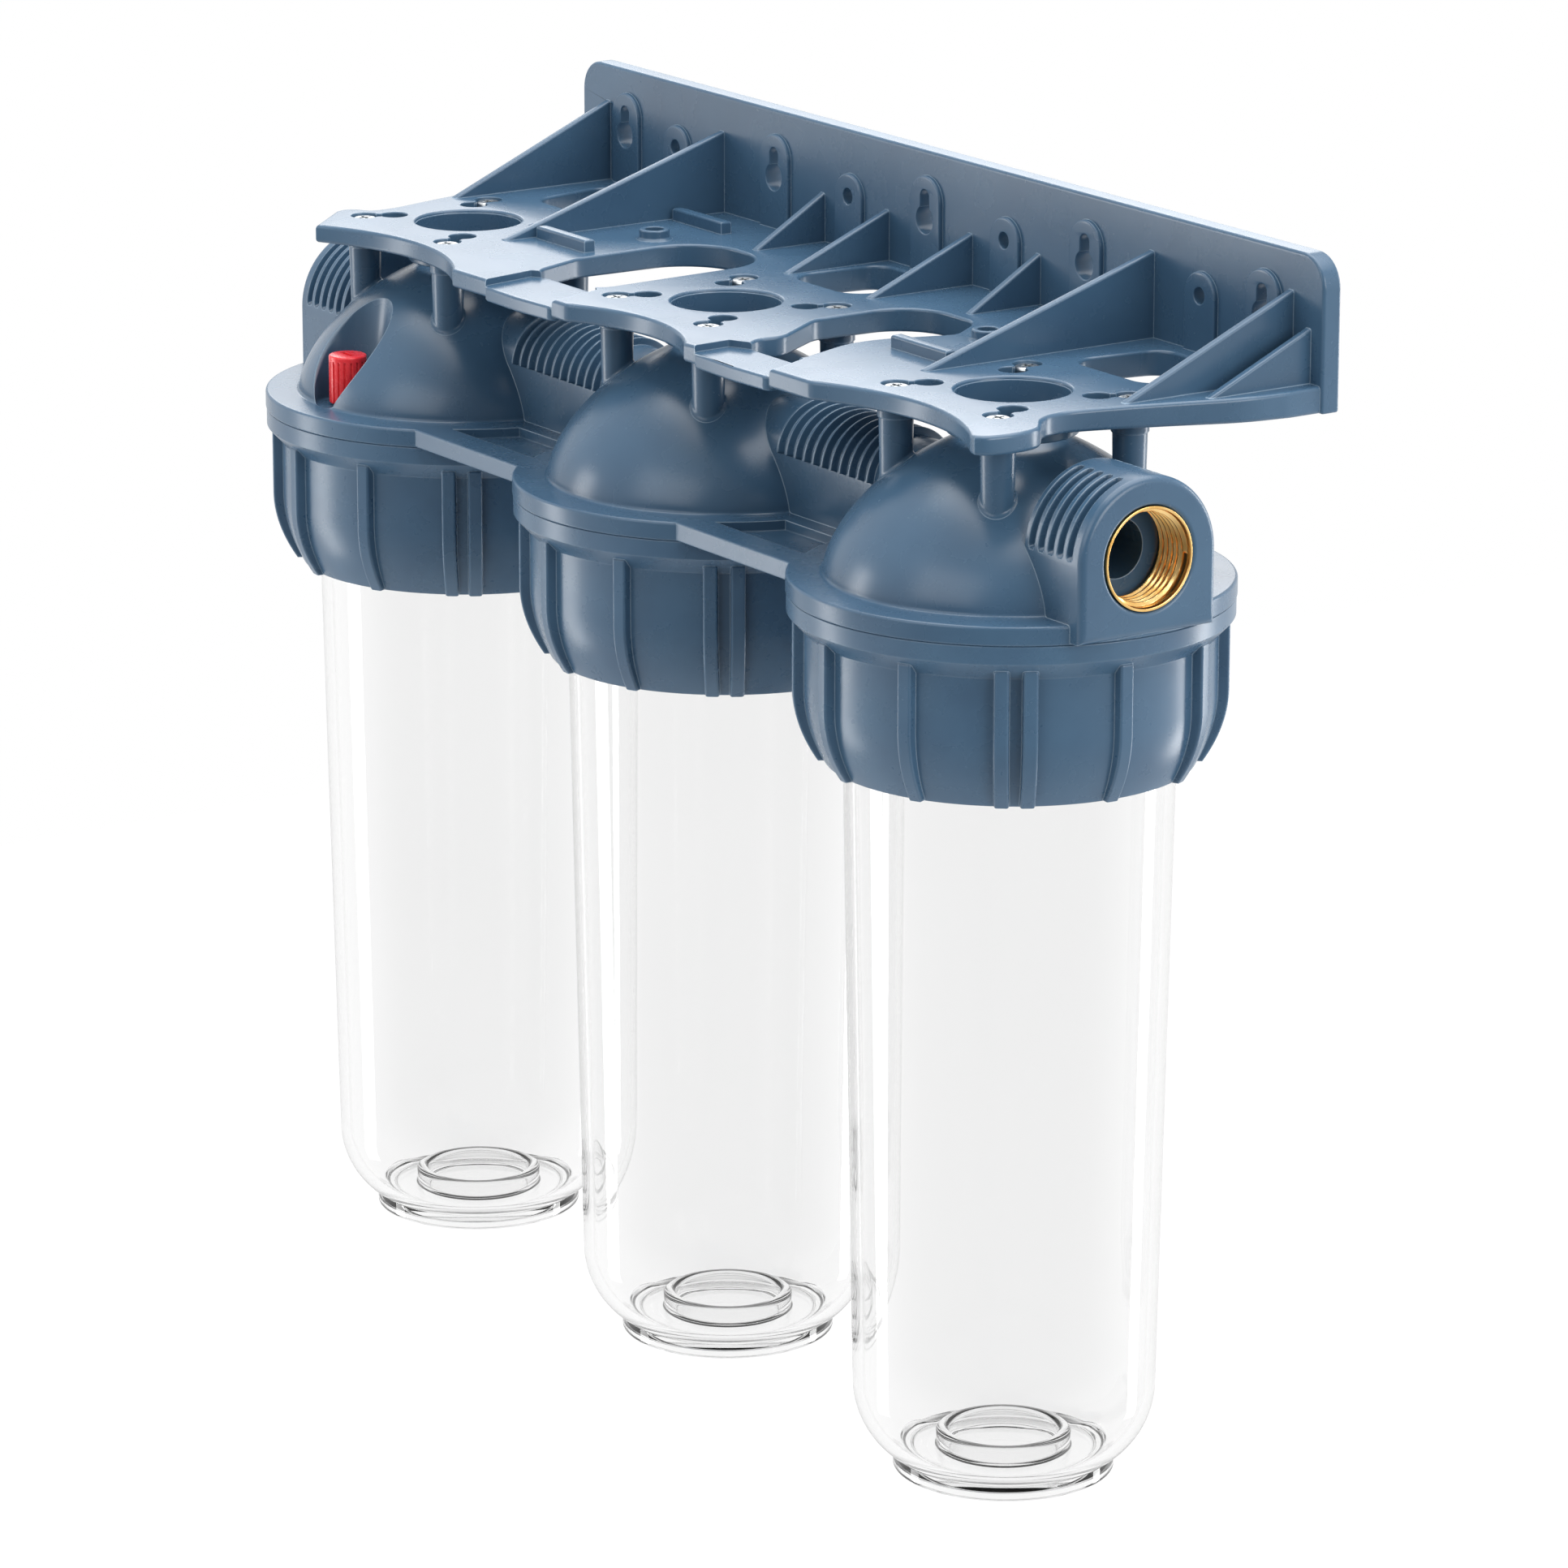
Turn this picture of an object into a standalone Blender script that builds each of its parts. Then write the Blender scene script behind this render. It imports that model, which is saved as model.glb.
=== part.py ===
# Three-stage water filter housing: a wall bracket, a triple head, and three clear bowls on union nuts.
# The origin is on the bracket's wall face, in the middle, level with the top of the shelf.
# X runs along the row towards the outlet, Y points into the wall, Z is up.

import math

import bmesh
import bpy
from mathutils import Matrix

MM = 0.001

# Driving dimensions of the row
STAGES = (1, 2, 3)
MERGE = 0.01 * MM
OVERRUN = 2 * MM
EMBED = 0.6 * MM
SEAT_GAP = 0.3 * MM

# Bowls, outwards from their flange
BOWL_FLANGE_RADIUS = 51.2 * MM
BOWL_FLANGE_WIDTH = 6.55 * MM
BOWL_NECK_RADIUS = BOWL_FLANGE_RADIUS - BOWL_FLANGE_WIDTH
BOWL_TAPER = 3.45 * MM
BOWL_WAIST_RADIUS = BOWL_NECK_RADIUS - BOWL_TAPER
BOWL_WALL = 3 * MM
BOWL_SHOULDER = 24 * MM
BOWL_FOOT_INSET = 11 * MM
BOWL_FOOT_RADIUS = BOWL_WAIST_RADIUS - BOWL_FOOT_INSET
BOWL_FOOT_WALL = 3.1 * MM
CENTRING_RING_OUTER = 18.2 * MM
CENTRING_RING_WALL = 1.9 * MM
CENTRING_RING_INNER = CENTRING_RING_OUTER - CENTRING_RING_WALL
SEAL_INSET = 3.6 * MM
SEAL_RING_RADIUS = BOWL_FLANGE_RADIUS - SEAL_INSET
SEAL_CORD_RADIUS = 1.6 * MM
SEAL_ROOM = 0.4 * MM
SEAL_GROOVE_HALF = SEAL_CORD_RADIUS + SEAL_ROOM
SEAL_GROOVE_DEPTH = 2 * (SEAL_CORD_RADIUS + SEAT_GAP)

# Union nuts, outwards from the bowl's flange
NUT_BORE_GAP = 0.9 * MM
NUT_BORE = BOWL_FLANGE_RADIUS + NUT_BORE_GAP
NUT_WALL = 2.9 * MM
NUT_BODY_RADIUS = NUT_BORE + NUT_WALL
NUT_RIM_FLARE = 4.4 * MM
NUT_RIM_RADIUS = NUT_BODY_RADIUS + NUT_RIM_FLARE
NUT_DRAW_IN = 5.5 * MM
NUT_FOOT_RADIUS = NUT_BODY_RADIUS - NUT_DRAW_IN
NUT_LIP_GAP = 0.35 * MM
NUT_LIP_RADIUS = BOWL_NECK_RADIUS + NUT_LIP_GAP
RIB_PROUD = 3 * MM
RIB_RADIUS = NUT_BODY_RADIUS + RIB_PROUD
RIB_FOOT_PROUD = 1.7 * MM
RIB_FOOT_RADIUS = NUT_FOOT_RADIUS + RIB_FOOT_PROUD
RIB_ROOT = 1.2 * MM
RIB_INNER_TOP = NUT_BODY_RADIUS - RIB_ROOT
RIB_FOOT_ROOT = 1.5 * MM
RIB_INNER_FOOT = NUT_FOOT_RADIUS - RIB_FOOT_ROOT
RIB_WIDTH = 4 * MM
RIB_PLACES = 12
RIB_TURN = math.radians(-34.5)
RIB_PAIR_EVERY = 3
RIB_PAIR_TURN = math.radians(3.8)

# Head moulding, each head round its nut and collar
FLANGE_EDGE = 0.35 * MM
FLANGE_RADIUS = NUT_RIM_RADIUS + FLANGE_EDGE
COLLAR_GAP = 0.6 * MM
COLLAR_RADIUS = NUT_BORE - COLLAR_GAP
COLLAR_THICK = 7 * MM
CHAMBER_RADIUS = COLLAR_RADIUS - COLLAR_THICK
DOME_WALL = 5.5 * MM
DOME_RADIUS = CHAMBER_RADIUS + DOME_WALL
DOME_POWER = 1.6
HEAD_WALL = 4 * MM
FLANGE_SPACING = 15.5 * MM
HEAD_PITCH = 2 * FLANGE_RADIUS + FLANGE_SPACING
WALL_SPACING = 14.45 * MM
AXIS_TO_WALL = FLANGE_RADIUS + WALL_SPACING
WEB_INSET = 16.05 * MM
WEB_HALF = FLANGE_RADIUS - WEB_INSET
WEB_RIM_INSET = 9.2 * MM
WEB_RIM = WEB_HALF - WEB_RIM_INSET
WEB_POCKET_WIDTH = 17 * MM
WEB_POCKET_INNER = WEB_RIM - WEB_POCKET_WIDTH
WEB_POCKET_INSET = 2.25 * MM
WEB_POCKET_RADIUS = FLANGE_RADIUS - WEB_POCKET_INSET
WEB_POCKET_DEPTH = 2.8 * MM
COLUMN_BORE = 7 * MM
COLUMN_WALL = 6 * MM
COLUMN_RADIUS = COLUMN_BORE + COLUMN_WALL
DUCT_BORE = 8 * MM
DUCT_WALL = 4 * MM
DUCT_RADIUS = DUCT_BORE + DUCT_WALL
DUCT_BORE_PAST = 2 * MM
DUCT_BORE_START = COLUMN_BORE + DUCT_BORE_PAST
BORE_END_INSET = 14.5 * MM
BORE_END_TO_AXIS = CHAMBER_RADIUS - BORE_END_INSET
PASSAGE_COVER = 2.5 * MM
PASSAGE_HALF = DUCT_RADIUS + PASSAGE_COVER
PASSAGE_INSET = 20 * MM
PASSAGE_REACH = HEAD_PITCH - PASSAGE_INSET

# Brass inserts
INSERT_BORE = 12.1 * MM
INSERT_WALL = 1.6 * MM
INSERT_RADIUS = INSERT_BORE + INSERT_WALL
INSERT_FLARE = 1.1 * MM
INSERT_MOUTH = INSERT_BORE + INSERT_FLARE
INSERT_CHAMFER = 1.2 * MM
INSERT_LENGTH = 13.5 * MM

# Port blocks round the inserts
PORT_WALL = 8.05 * MM
PORT_HALF = INSERT_RADIUS + PORT_WALL
PORT_PROUD = 0.65 * MM
PORT_FACE = HEAD_PITCH + FLANGE_RADIUS + PORT_PROUD
PORT_BEHIND_INSERT = 11.4 * MM
PORT_ROOT = PORT_FACE - INSERT_LENGTH - PORT_BEHIND_INSERT

# Grooves over the passages and the port blocks
GROOVE_DEPTH = 1.2 * MM
GROOVE_WIDTH = 2.1 * MM
GROOVE_PITCH = 4.24 * MM
GROOVES_PER_PASSAGE = 10
PORT_GROOVES = 5
PORT_GROOVE_INSET = 22 * MM
PORT_GROOVE_START = PORT_FACE - PORT_GROOVE_INSET
PORT_GROOVE_PITCH = 4.1 * MM
PORT_GROOVE_WIDTH = 1.8 * MM
PORT_GROOVE_TURN = math.radians(75)

# Heights of the head, from the tops of the domes down
DOME_TOP_DROP = 9.2 * MM
DOME_TOP = -DOME_TOP_DROP
DOME_RISE = 40 * MM
FLANGE_TOP = DOME_TOP - DOME_RISE
FLANGE_THICK = 5.2 * MM
FLANGE_BOTTOM = FLANGE_TOP - FLANGE_THICK
COLLAR_LENGTH = 25.8 * MM
COLLAR_END = FLANGE_BOTTOM - COLLAR_LENGTH
COLUMN_DROP = 7.6 * MM
COLUMN_END = FLANGE_BOTTOM - COLUMN_DROP
PASSAGE_RISE = 15.6 * MM
PASSAGE_AXIS = FLANGE_TOP + PASSAGE_RISE
PORT_FOOT_RISE = 0.5 * MM
PORT_BOTTOM = FLANGE_BOTTOM + PORT_FOOT_RISE
POST_DEPTH = 19.8 * MM
POST_FOOT = DOME_TOP - POST_DEPTH

# Heights of the nuts and bowls, from the flange down
NUT_TOP_GAP = 0.4 * MM
NUT_TOP = FLANGE_BOTTOM - NUT_TOP_GAP
NUT_RIM_THICK = 4.6 * MM
NUT_RIM_BOTTOM = NUT_TOP - NUT_RIM_THICK
NUT_CHAMFER_DROP = 4.8 * MM
NUT_CHAMFER_END = NUT_RIM_BOTTOM - NUT_CHAMFER_DROP
RIB_TOP_DROP = 1.9 * MM
RIB_TOP = NUT_RIM_BOTTOM - RIB_TOP_DROP
BOWL_FLANGE_TOP = COLLAR_END - SEAT_GAP
BOWL_FLANGE_THICK = 7.2 * MM
BOWL_FLANGE_BOTTOM = BOWL_FLANGE_TOP - BOWL_FLANGE_THICK
NUT_LEDGE = BOWL_FLANGE_BOTTOM - SEAT_GAP
NUT_FLOOR_THICK = 12 * MM
NUT_BOTTOM = NUT_LEDGE - NUT_FLOOR_THICK
NUT_CURVE_RISE = 20 * MM
NUT_CURVE_START = NUT_BOTTOM + NUT_CURVE_RISE
BOWL_LENGTH = 219.7 * MM
BOWL_BOTTOM = BOWL_FLANGE_TOP - BOWL_LENGTH
BOWL_FOOT_DEPTH = 2 * MM
BOWL_UNDERSIDE = BOWL_BOTTOM + BOWL_FOOT_DEPTH
BOWL_FLOOR = BOWL_UNDERSIDE + BOWL_WALL
BOWL_CORNER_CUT = 1.3 * MM
BOWL_WAIST = BOWL_FLOOR + BOWL_SHOULDER - BOWL_WALL - BOWL_CORNER_CUT
CENTRING_RING_RISE = 5.9 * MM
CENTRING_RING_TOP = BOWL_FLOOR + CENTRING_RING_RISE

# Vent on the first head
KNOB_RADIUS = 5.5 * MM
KNOB_ROOM = 3.9 * MM
NICHE_RADIUS_LOW = KNOB_RADIUS + KNOB_ROOM
NICHE_FLARE = 5.5 * MM
NICHE_RADIUS_HIGH = NICHE_RADIUS_LOW + NICHE_FLARE
NICHE_OVER = 0.2 * MM
NICHE_HIGH = DOME_TOP + NICHE_OVER
NICHE_SINK = 0.4 * MM
NICHE_WALL = 3 * MM
NICHE_FLOOR_THICK = 5.5 * MM
VENT_INSET = 8.5 * MM
VENT_REACH = DOME_RADIUS - VENT_INSET
KNOB_FOOT_GAP = 0.4 * MM
KNOB_HEIGHT = 14 * MM
KNOB_TOP = FLANGE_TOP + KNOB_FOOT_GAP + KNOB_HEIGHT
KNOB_EDGE = 0.7 * MM
KNOB_FLUTES = 12
KNOB_FLUTE_RADIUS = 0.6 * MM
KNOB_FLUTE_DROP = 1.4 * MM
KNOB_SLOT_WIDTH = 1.3 * MM
KNOB_SLOT_DEPTH = 1.2 * MM
VENT_STEM_RADIUS = 2.3 * MM
VENT_STEM_FIT = 0.08 * MM
VENT_STEM_DROP = 8.3 * MM
VENT_STEM_END = FLANGE_TOP - VENT_STEM_DROP
VENT_SEAL_CORD = 0.65 * MM
VENT_SEAL_ROOM = 0.4 * MM
VENT_SEAL_RING = VENT_STEM_RADIUS + VENT_SEAL_CORD + VENT_SEAL_ROOM
VENT_POCKET_RADIUS = VENT_SEAL_RING + VENT_SEAL_CORD + SEAT_GAP
VENT_POCKET_DEPTH = 2 * VENT_SEAL_CORD + SEAT_GAP

# Bracket screws, one down into each post
SCREW_HEAD_RADIUS = 3.6 * MM
SCREW_HEAD_DROP = 2.5 * MM
SCREW_HEAD_TOP = -SCREW_HEAD_DROP
SCREW_HEAD_THICK = 1.4 * MM
SCREW_SHANK_RADIUS = 1.9 * MM
SCREW_LENGTH = 14.5 * MM
SCREW_TIP = SCREW_HEAD_TOP - SCREW_LENGTH
SCREW_TIP_RADIUS = 0.8 * MM
SCREW_TIP_LENGTH = 2 * MM
SCREW_HOLE_RADIUS = SCREW_SHANK_RADIUS + SEAT_GAP
POST_WALL = 2.4 * MM
POST_RADIUS = SCREW_HOLE_RADIUS + POST_WALL

# Screw slots, placed round each head's axis by shares of the dome's radius
SLOT_INNER_SHARES = (0.378, 0.275)
SLOT_OUTER_SHARES = (0.458, 0.426)
SLOT_ROOM = 0.35 * MM
SLOT_RADIUS = SCREW_HEAD_RADIUS + SLOT_ROOM
SLOT_NECK = 1.9 * MM
SLOT_FLOOR = SCREW_HEAD_TOP - SCREW_HEAD_THICK - SEAT_GAP

# Shelf of the bracket, seen from above with Y measured from the heads' axes
SHELF_FRONT = 40.3 * MM
SLOT_FLOOR_THICK = 1 * MM
SHELF_THICK_FRONT = SLOT_FLOOR_THICK - SLOT_FLOOR
SHELF_THICKENING = 2.3 * MM
SHELF_THICK_WALL = SHELF_THICK_FRONT + SHELF_THICKENING
CUP_RADIUS = 15.3 * MM
COLLAR_WALL = 2.4 * MM
COLLAR_DROP = 6 * MM
COLLAR_BOTTOM = -SHELF_THICK_FRONT - COLLAR_DROP
STRIP_DROP = 2 * MM
STRIP_THICK = 4.1 * MM

# Wall plate. Places along the row are shares: 1 is an outer head's axis and 2 is an end of the plate
PLATE_THICK = 5.95 * MM
PLATE_OVERHANG = 44 * MM
PLATE_HALF = HEAD_PITCH + PLATE_OVERHANG
PLATE_TOP = 34.5 * MM
PLATE_CORNER = 9 * MM
PAD_PROUD = 1.35 * MM
KEY_PAD_SHARES = (-1.436, -0.559, 0, 0.559, 1.436)
KEY_HOLE_RADIUS = 4 * MM
KEY_PAD_RIM = 3.15 * MM
KEY_PAD_HALF = KEY_HOLE_RADIUS + KEY_PAD_RIM
KEY_PAD_INSET = 7 * MM
KEY_PAD_TOP = PLATE_TOP - KEY_PAD_INSET
KEY_NECK_HALF = 2.1 * MM
KEY_NECK_INSET = 3.9 * MM
KEY_NECK_TOP = KEY_PAD_TOP - KEY_NECK_INSET
KEY_HOLE_DROP = 8.6 * MM
KEY_HOLE_HEIGHT = KEY_NECK_TOP - KEY_HOLE_DROP
ROUND_PAD_SHARES = (-0.941, -0.281, 0.281, 0.941)
ROUND_HOLE_RADIUS = 2.3 * MM
ROUND_PAD_RIM = 4.45 * MM
ROUND_PAD_HALF = ROUND_HOLE_RADIUS + ROUND_PAD_RIM
ROUND_PAD_INSET = 12.5 * MM
ROUND_PAD_TOP = PLATE_TOP - ROUND_PAD_INSET
ROUND_HOLE_DROP = 6.5 * MM
ROUND_HOLE_HEIGHT = ROUND_PAD_TOP - ROUND_HOLE_DROP

# Gussets: place along the row, height as a share of the plate's, and the tip's place across the shelf,
# where -1 is the front edge, 0 the heads' axes and 1 the wall
GUSSET_THICK = 2.6 * MM
GUSSET_SHARES = (
    (0.15, 0.42, 0.446),
    (0.388, 0.412, 0.597),
    (0.772, 0.693, -0.201),
    (1.684, 0.69, 0.175),
    (1.857, 0.429, 0.469),
)

# Small features on the shelf
BAR_HEIGHT = 3.6 * MM
BAR_WIDTH = 3.5 * MM
BAR_END_SHARES = (0.563, 0.751)
BAR_ROW_SHARES = (0.054, 0.685)
BOSS_SHARES = (0.607, 0.404)
BOSS_HOLE = 2.7 * MM
BOSS_WALL = 1.7 * MM
BOSS_RADIUS = BOSS_HOLE + BOSS_WALL
BOSS_HEIGHT = 3 * MM

# Facets: numbers of steps round each kind of shape
BOWL_STEPS = 24
NUT_STEPS = 24
DOME_STEPS = 24
DOME_RINGS = 6
CHAMBER_STEPS = 16
CHAMBER_RINGS = 4
CURVE_RINGS = 3
ARCH_STEPS = 8
CORNER_STEPS = 4
SCALLOP_STEPS = 9
HOLE_STEPS = 10
NECK_STEPS = 5
SCREW_STEPS = 8
RING_STEPS = 20
CORD_STEPS = 6
SMALL_RING_STEPS = 12
SMOOTH_ANGLE = math.radians(35)

# The exact solver leaves open edges after this many cuts in a row, so the two big mouldings use the other one
LONG_CHAIN = "MANIFOLD"

# Front edge of the shelf, from the inlet end to the outlet end: each scallop's first end, middle and last end
SCALLOP_SHARES = (
    ((-1.42, -1.007), (-0.867, -0.739), (-0.576, -1.015)),
    ((-0.156, -0.993), (0.037, -0.777), (0.296, -1.007)),
    ((0.719, -0.978), (0.948, -0.737), (1.843, -1.002)),
)

# Ends of the shelf, from the front corner back to the wall plate
INLET_END_SHARES = (
    (-1.755, -0.62),
    (-1.775, -0.533),
    (-1.732, -0.447),
    (-1.652, -0.382),
    (-1.648, -0.199),
    (-1.723, 0.071),
    (-1.818, 0.296),
    (-1.961, 0.574),
    (-2, 0.782),
)
OUTLET_END_SHARES = (
    (1.895, -1.012),
    (1.95, -0.921),
    (1.968, -0.71),
    (1.916, -0.519),
    (1.75, -0.357),
    (1.686, -0.199),
    (1.693, 0.015),
    (1.818, 0.296),
    (1.961, 0.574),
    (2, 0.782),
)

# Windows in the shelf: each corner's place, and its rounding as a share of the heads' pitch
WINDOW_SHARES = (
    (
        (-0.247, -0.541, 0.044),
        (-0.267, 0.55, 0.119),
        (-0.541, 0.55, 0.119),
        (-0.526, -0.074, 0.104),
        (-0.47, -0.541, 0.044),
    ),
    (
        (0.341, -0.655, 0.052),
        (0.544, -0.655, 0.022),
        (0.464, 0, 0.222),
        (0.53, 0.364, 0.037),
        (0.459, 0.544, 0.074),
        (0.248, 0.544, 0.104),
        (0.256, 0.081, 0.074),
        (0.352, -0.323, 0.059),
    ),
    (
        (-0.133, 0.438, 0.059),
        (0.111, 0.438, 0.059),
        (0.096, 0.856, 0.044),
        (-0.119, 0.856, 0.044),
    ),
    (
        (0.852, 0.438, 0.052),
        (1.341, 0.438, 0.052),
        (1.477, 0.836, 0.044),
        (0.874, 0.836, 0.044),
    ),
    (
        (-0.852, 0.438, 0.052),
        (-0.874, 0.836, 0.044),
        (-1.477, 0.836, 0.044),
        (-1.341, 0.438, 0.052),
    ),
)

# Lowered front strips between the heads, drawn round past the front edge and over each window
STRIP_SHARES = (
    (
        (-0.452, -1.022),
        (-0.319, -1.037),
        (-0.188, -1.007),
        (-0.236, -0.546),
        (-0.27, -0.491),
        (-0.444, -0.491),
        (-0.478, -0.571),
    ),
    (
        (0.324, -1.007),
        (0.474, -1.027),
        (0.604, -1.007),
        (0.547, -0.61),
        (0.37, -0.61),
        (0.319, -0.695),
    ),
)

# Materials: colour as shares of full red, green and blue light, then roughness, metallic and transmission
LOOK_SHARES = {
    "slate_blue_plastic": ((0.105, 0.17, 0.245, 1), 0.38, 0, 0),
    "slate_blue_head_plastic": ((0.105, 0.17, 0.245, 1), 0.38, 0, 0),
    "slate_blue_nut_plastic": ((0.105, 0.17, 0.245, 1), 0.42, 0, 0),
    "pale_zinc_steel": ((0.55, 0.57, 0.58, 1), 0.35, 1, 0),
    "polished_brass": ((0.83, 0.55, 0.25, 1), 0.18, 1, 0),
    "clear_bowl_plastic": ((0.95, 0.96, 0.96, 1), 0.05, 0, 1),
    "red_vent_plastic": ((0.75, 0.03, 0.035, 1), 0.35, 0, 0),
    "black_rubber": ((0.02, 0.02, 0.022, 1), 0.6, 0, 0),
}


def new_collection(name, hidden=False):
    group = bpy.data.collections.new(name)
    group.hide_render = hidden
    bpy.context.scene.collection.children.link(group)
    return group


for leftover in list(bpy.data.objects):
    bpy.data.objects.remove(leftover)
PARTS = new_collection("three_stage_water_filter_housing")
CUTTERS = new_collection("cutters", hidden=True)


def new_material(name):
    colour, roughness, metallic, transmission = LOOK_SHARES[name]
    material = bpy.data.materials.new(name)
    material.use_nodes = True
    shader = material.node_tree.nodes["Principled BSDF"]
    shader.inputs["Base Color"].default_value = colour
    shader.inputs["Roughness"].default_value = roughness
    shader.inputs["Metallic"].default_value = metallic
    shader.inputs["Transmission Weight"].default_value = transmission
    material.diffuse_color = colour
    return material


def head_x(stage):
    return (stage - 2) * HEAD_PITCH


def head_place(stage):
    return (head_x(stage), -AXIS_TO_WALL)


def vent_place():
    return (head_x(STAGES[0]), -AXIS_TO_WALL - VENT_REACH)


def along_row(share):
    beyond = max(0, abs(share) - 1)
    return math.copysign((abs(share) - beyond) * HEAD_PITCH + beyond * PLATE_OVERHANG, share)


def across_shelf(share):
    return share * (AXIS_TO_WALL if share > 0 else SHELF_FRONT) - AXIS_TO_WALL


def on_shelf(shares):
    return (along_row(shares[0]), across_shelf(shares[1]))


def as_helper(obj):
    for group in list(obj.users_collection):
        group.objects.unlink(obj)
    CUTTERS.objects.link(obj)
    obj.hide_render = True
    obj.display_type = "WIRE"
    return obj


def new_object(name, mesh):
    obj = bpy.data.objects.new(name, mesh)
    PARTS.objects.link(obj)
    return obj


def empty_at(name, place):
    empty = bpy.data.objects.new(name, None)
    empty.location = place
    PARTS.objects.link(empty)
    return empty


def evaluated_mesh(obj):
    bpy.context.view_layer.update()
    graph = bpy.context.evaluated_depsgraph_get()
    return bpy.data.meshes.new_from_object(obj.evaluated_get(graph))


# An outline filled and thickened along its normal, with both faces welded to its sides
def prism(name, loops, low, high):
    curve = bpy.data.curves.new(name, "CURVE")
    curve.dimensions = "2D"
    curve.fill_mode = "BOTH"
    curve.extrude = (high - low) / 2
    for loop in loops:
        spline = curve.splines.new("POLY")
        spline.points.add(len(loop) - 1)
        for point, (across, along) in zip(spline.points, loop):
            point.co = (across, along, 0, 1)
        spline.use_cyclic_u = True
    guide = bpy.data.objects.new(name + "_outline", curve)
    CUTTERS.objects.link(guide)
    mesh = evaluated_mesh(guide)
    bpy.data.objects.remove(guide)
    shape = bmesh.new()
    shape.from_mesh(mesh)
    bmesh.ops.translate(shape, verts=shape.verts, vec=(0, 0, (low + high) / 2))
    bmesh.ops.remove_doubles(shape, verts=shape.verts, dist=MERGE)
    bmesh.ops.recalc_face_normals(shape, faces=shape.faces)
    shape.to_mesh(mesh)
    shape.free()
    return new_object(name, mesh)


# Turns a prism drawn in X and Y so that it is drawn in X and Z, its thickness running along Y
def stand_along_y(obj):
    obj.data.transform(Matrix(((1, 0, 0, 0), (0, 0, 1, 0), (0, 1, 0, 0), (0, 0, 0, 1))))
    obj.data.flip_normals()
    return obj


# Turns a prism drawn in X and Y so that it is drawn in Y and Z, its thickness running along X
def stand_along_x(obj):
    obj.data.transform(Matrix(((0, 0, 1, 0), (1, 0, 0, 0), (0, 1, 0, 0), (0, 0, 0, 1))))
    return obj


def turned(name, profile, steps, closed=False):
    mesh = bpy.data.meshes.new(name)
    edges = [(i, i + 1) for i in range(len(profile) - 1)]
    if closed:
        edges.append((len(profile) - 1, 0))
    mesh.from_pydata([(radius, 0, height) for radius, height in profile], edges, [])
    obj = new_object(name, mesh)
    screw = obj.modifiers.new("Turn", "SCREW")
    screw.steps = steps
    screw.render_steps = steps
    screw.use_merge_vertices = True
    screw.merge_threshold = MERGE
    return obj


# Turns a shape's modifiers into its mesh
def settle(obj):
    mesh = evaluated_mesh(obj)
    obj.modifiers.clear()
    obj.data = mesh
    return obj


def moved(obj, place):
    obj.data.transform(Matrix.Translation((place[0], place[1], 0)))
    return obj


def cylinder(name, radius, low, high, place=(0, 0), steps=HOLE_STEPS):
    obj = turned(name, [(0, high), (radius, high), (radius, low), (0, low)], steps)
    return moved(settle(obj), place)


# A settled upright shape laid along X, its former bottom towards the inlet and its axis at the given height
def lay_along_x(obj, height):
    obj.data.transform(Matrix(((0, 0, 1, 0), (0, 1, 0, -AXIS_TO_WALL), (-1, 0, 0, height), (0, 0, 0, 1))))
    return obj


def merged(name, pieces):
    shape = bmesh.new()
    for piece in pieces:
        shape.from_mesh(piece.data)
    mesh = bpy.data.meshes.new(name)
    shape.to_mesh(mesh)
    shape.free()
    for piece in pieces:
        bpy.data.objects.remove(piece)
    return new_object(name, mesh)


def boolean(obj, other, operation, solver):
    modifier = obj.modifiers.new(other.name, "BOOLEAN")
    modifier.object = as_helper(other)
    modifier.operation = operation
    modifier.solver = solver


def join(obj, *others, solver="EXACT"):
    for other in others:
        boolean(obj, other, "UNION", solver)


def cut(obj, *others, solver="EXACT"):
    for other in others:
        boolean(obj, other, "DIFFERENCE", solver)


def finish(obj, material):
    obj.data.materials.clear()
    obj.data.materials.append(material)
    obj.data.shade_smooth()
    obj.data.set_sharp_from_angle(angle=SMOOTH_ANGLE)
    return obj


def circle(centre, radius, steps=HOLE_STEPS, start=0.0, end=2 * math.pi):
    whole = end - start >= 2 * math.pi
    count = steps if whole else steps + 1
    angles = [start + (end - start) * i / steps for i in range(count)]
    return [(centre[0] + radius * math.cos(a), centre[1] + radius * math.sin(a)) for a in angles]


# The arc from start to end that passes through the middle point
def arc_through(start, middle, end, steps):
    (ax, ay), (bx, by), (cx, cy) = start, middle, end
    double = 2 * (ax * (by - cy) + bx * (cy - ay) + cx * (ay - by))
    a2, b2, c2 = ax * ax + ay * ay, bx * bx + by * by, cx * cx + cy * cy
    ox = (a2 * (by - cy) + b2 * (cy - ay) + c2 * (ay - by)) / double
    oy = (a2 * (cx - bx) + b2 * (ax - cx) + c2 * (bx - ax)) / double
    first = math.atan2(ay - oy, ax - ox)
    sweep = (math.atan2(cy - oy, cx - ox) - first) % (2 * math.pi)
    through = (math.atan2(by - oy, bx - ox) - first) % (2 * math.pi)
    if through > sweep:
        sweep -= 2 * math.pi
    return circle((ox, oy), math.hypot(ax - ox, ay - oy), steps, first, first + sweep)


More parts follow.
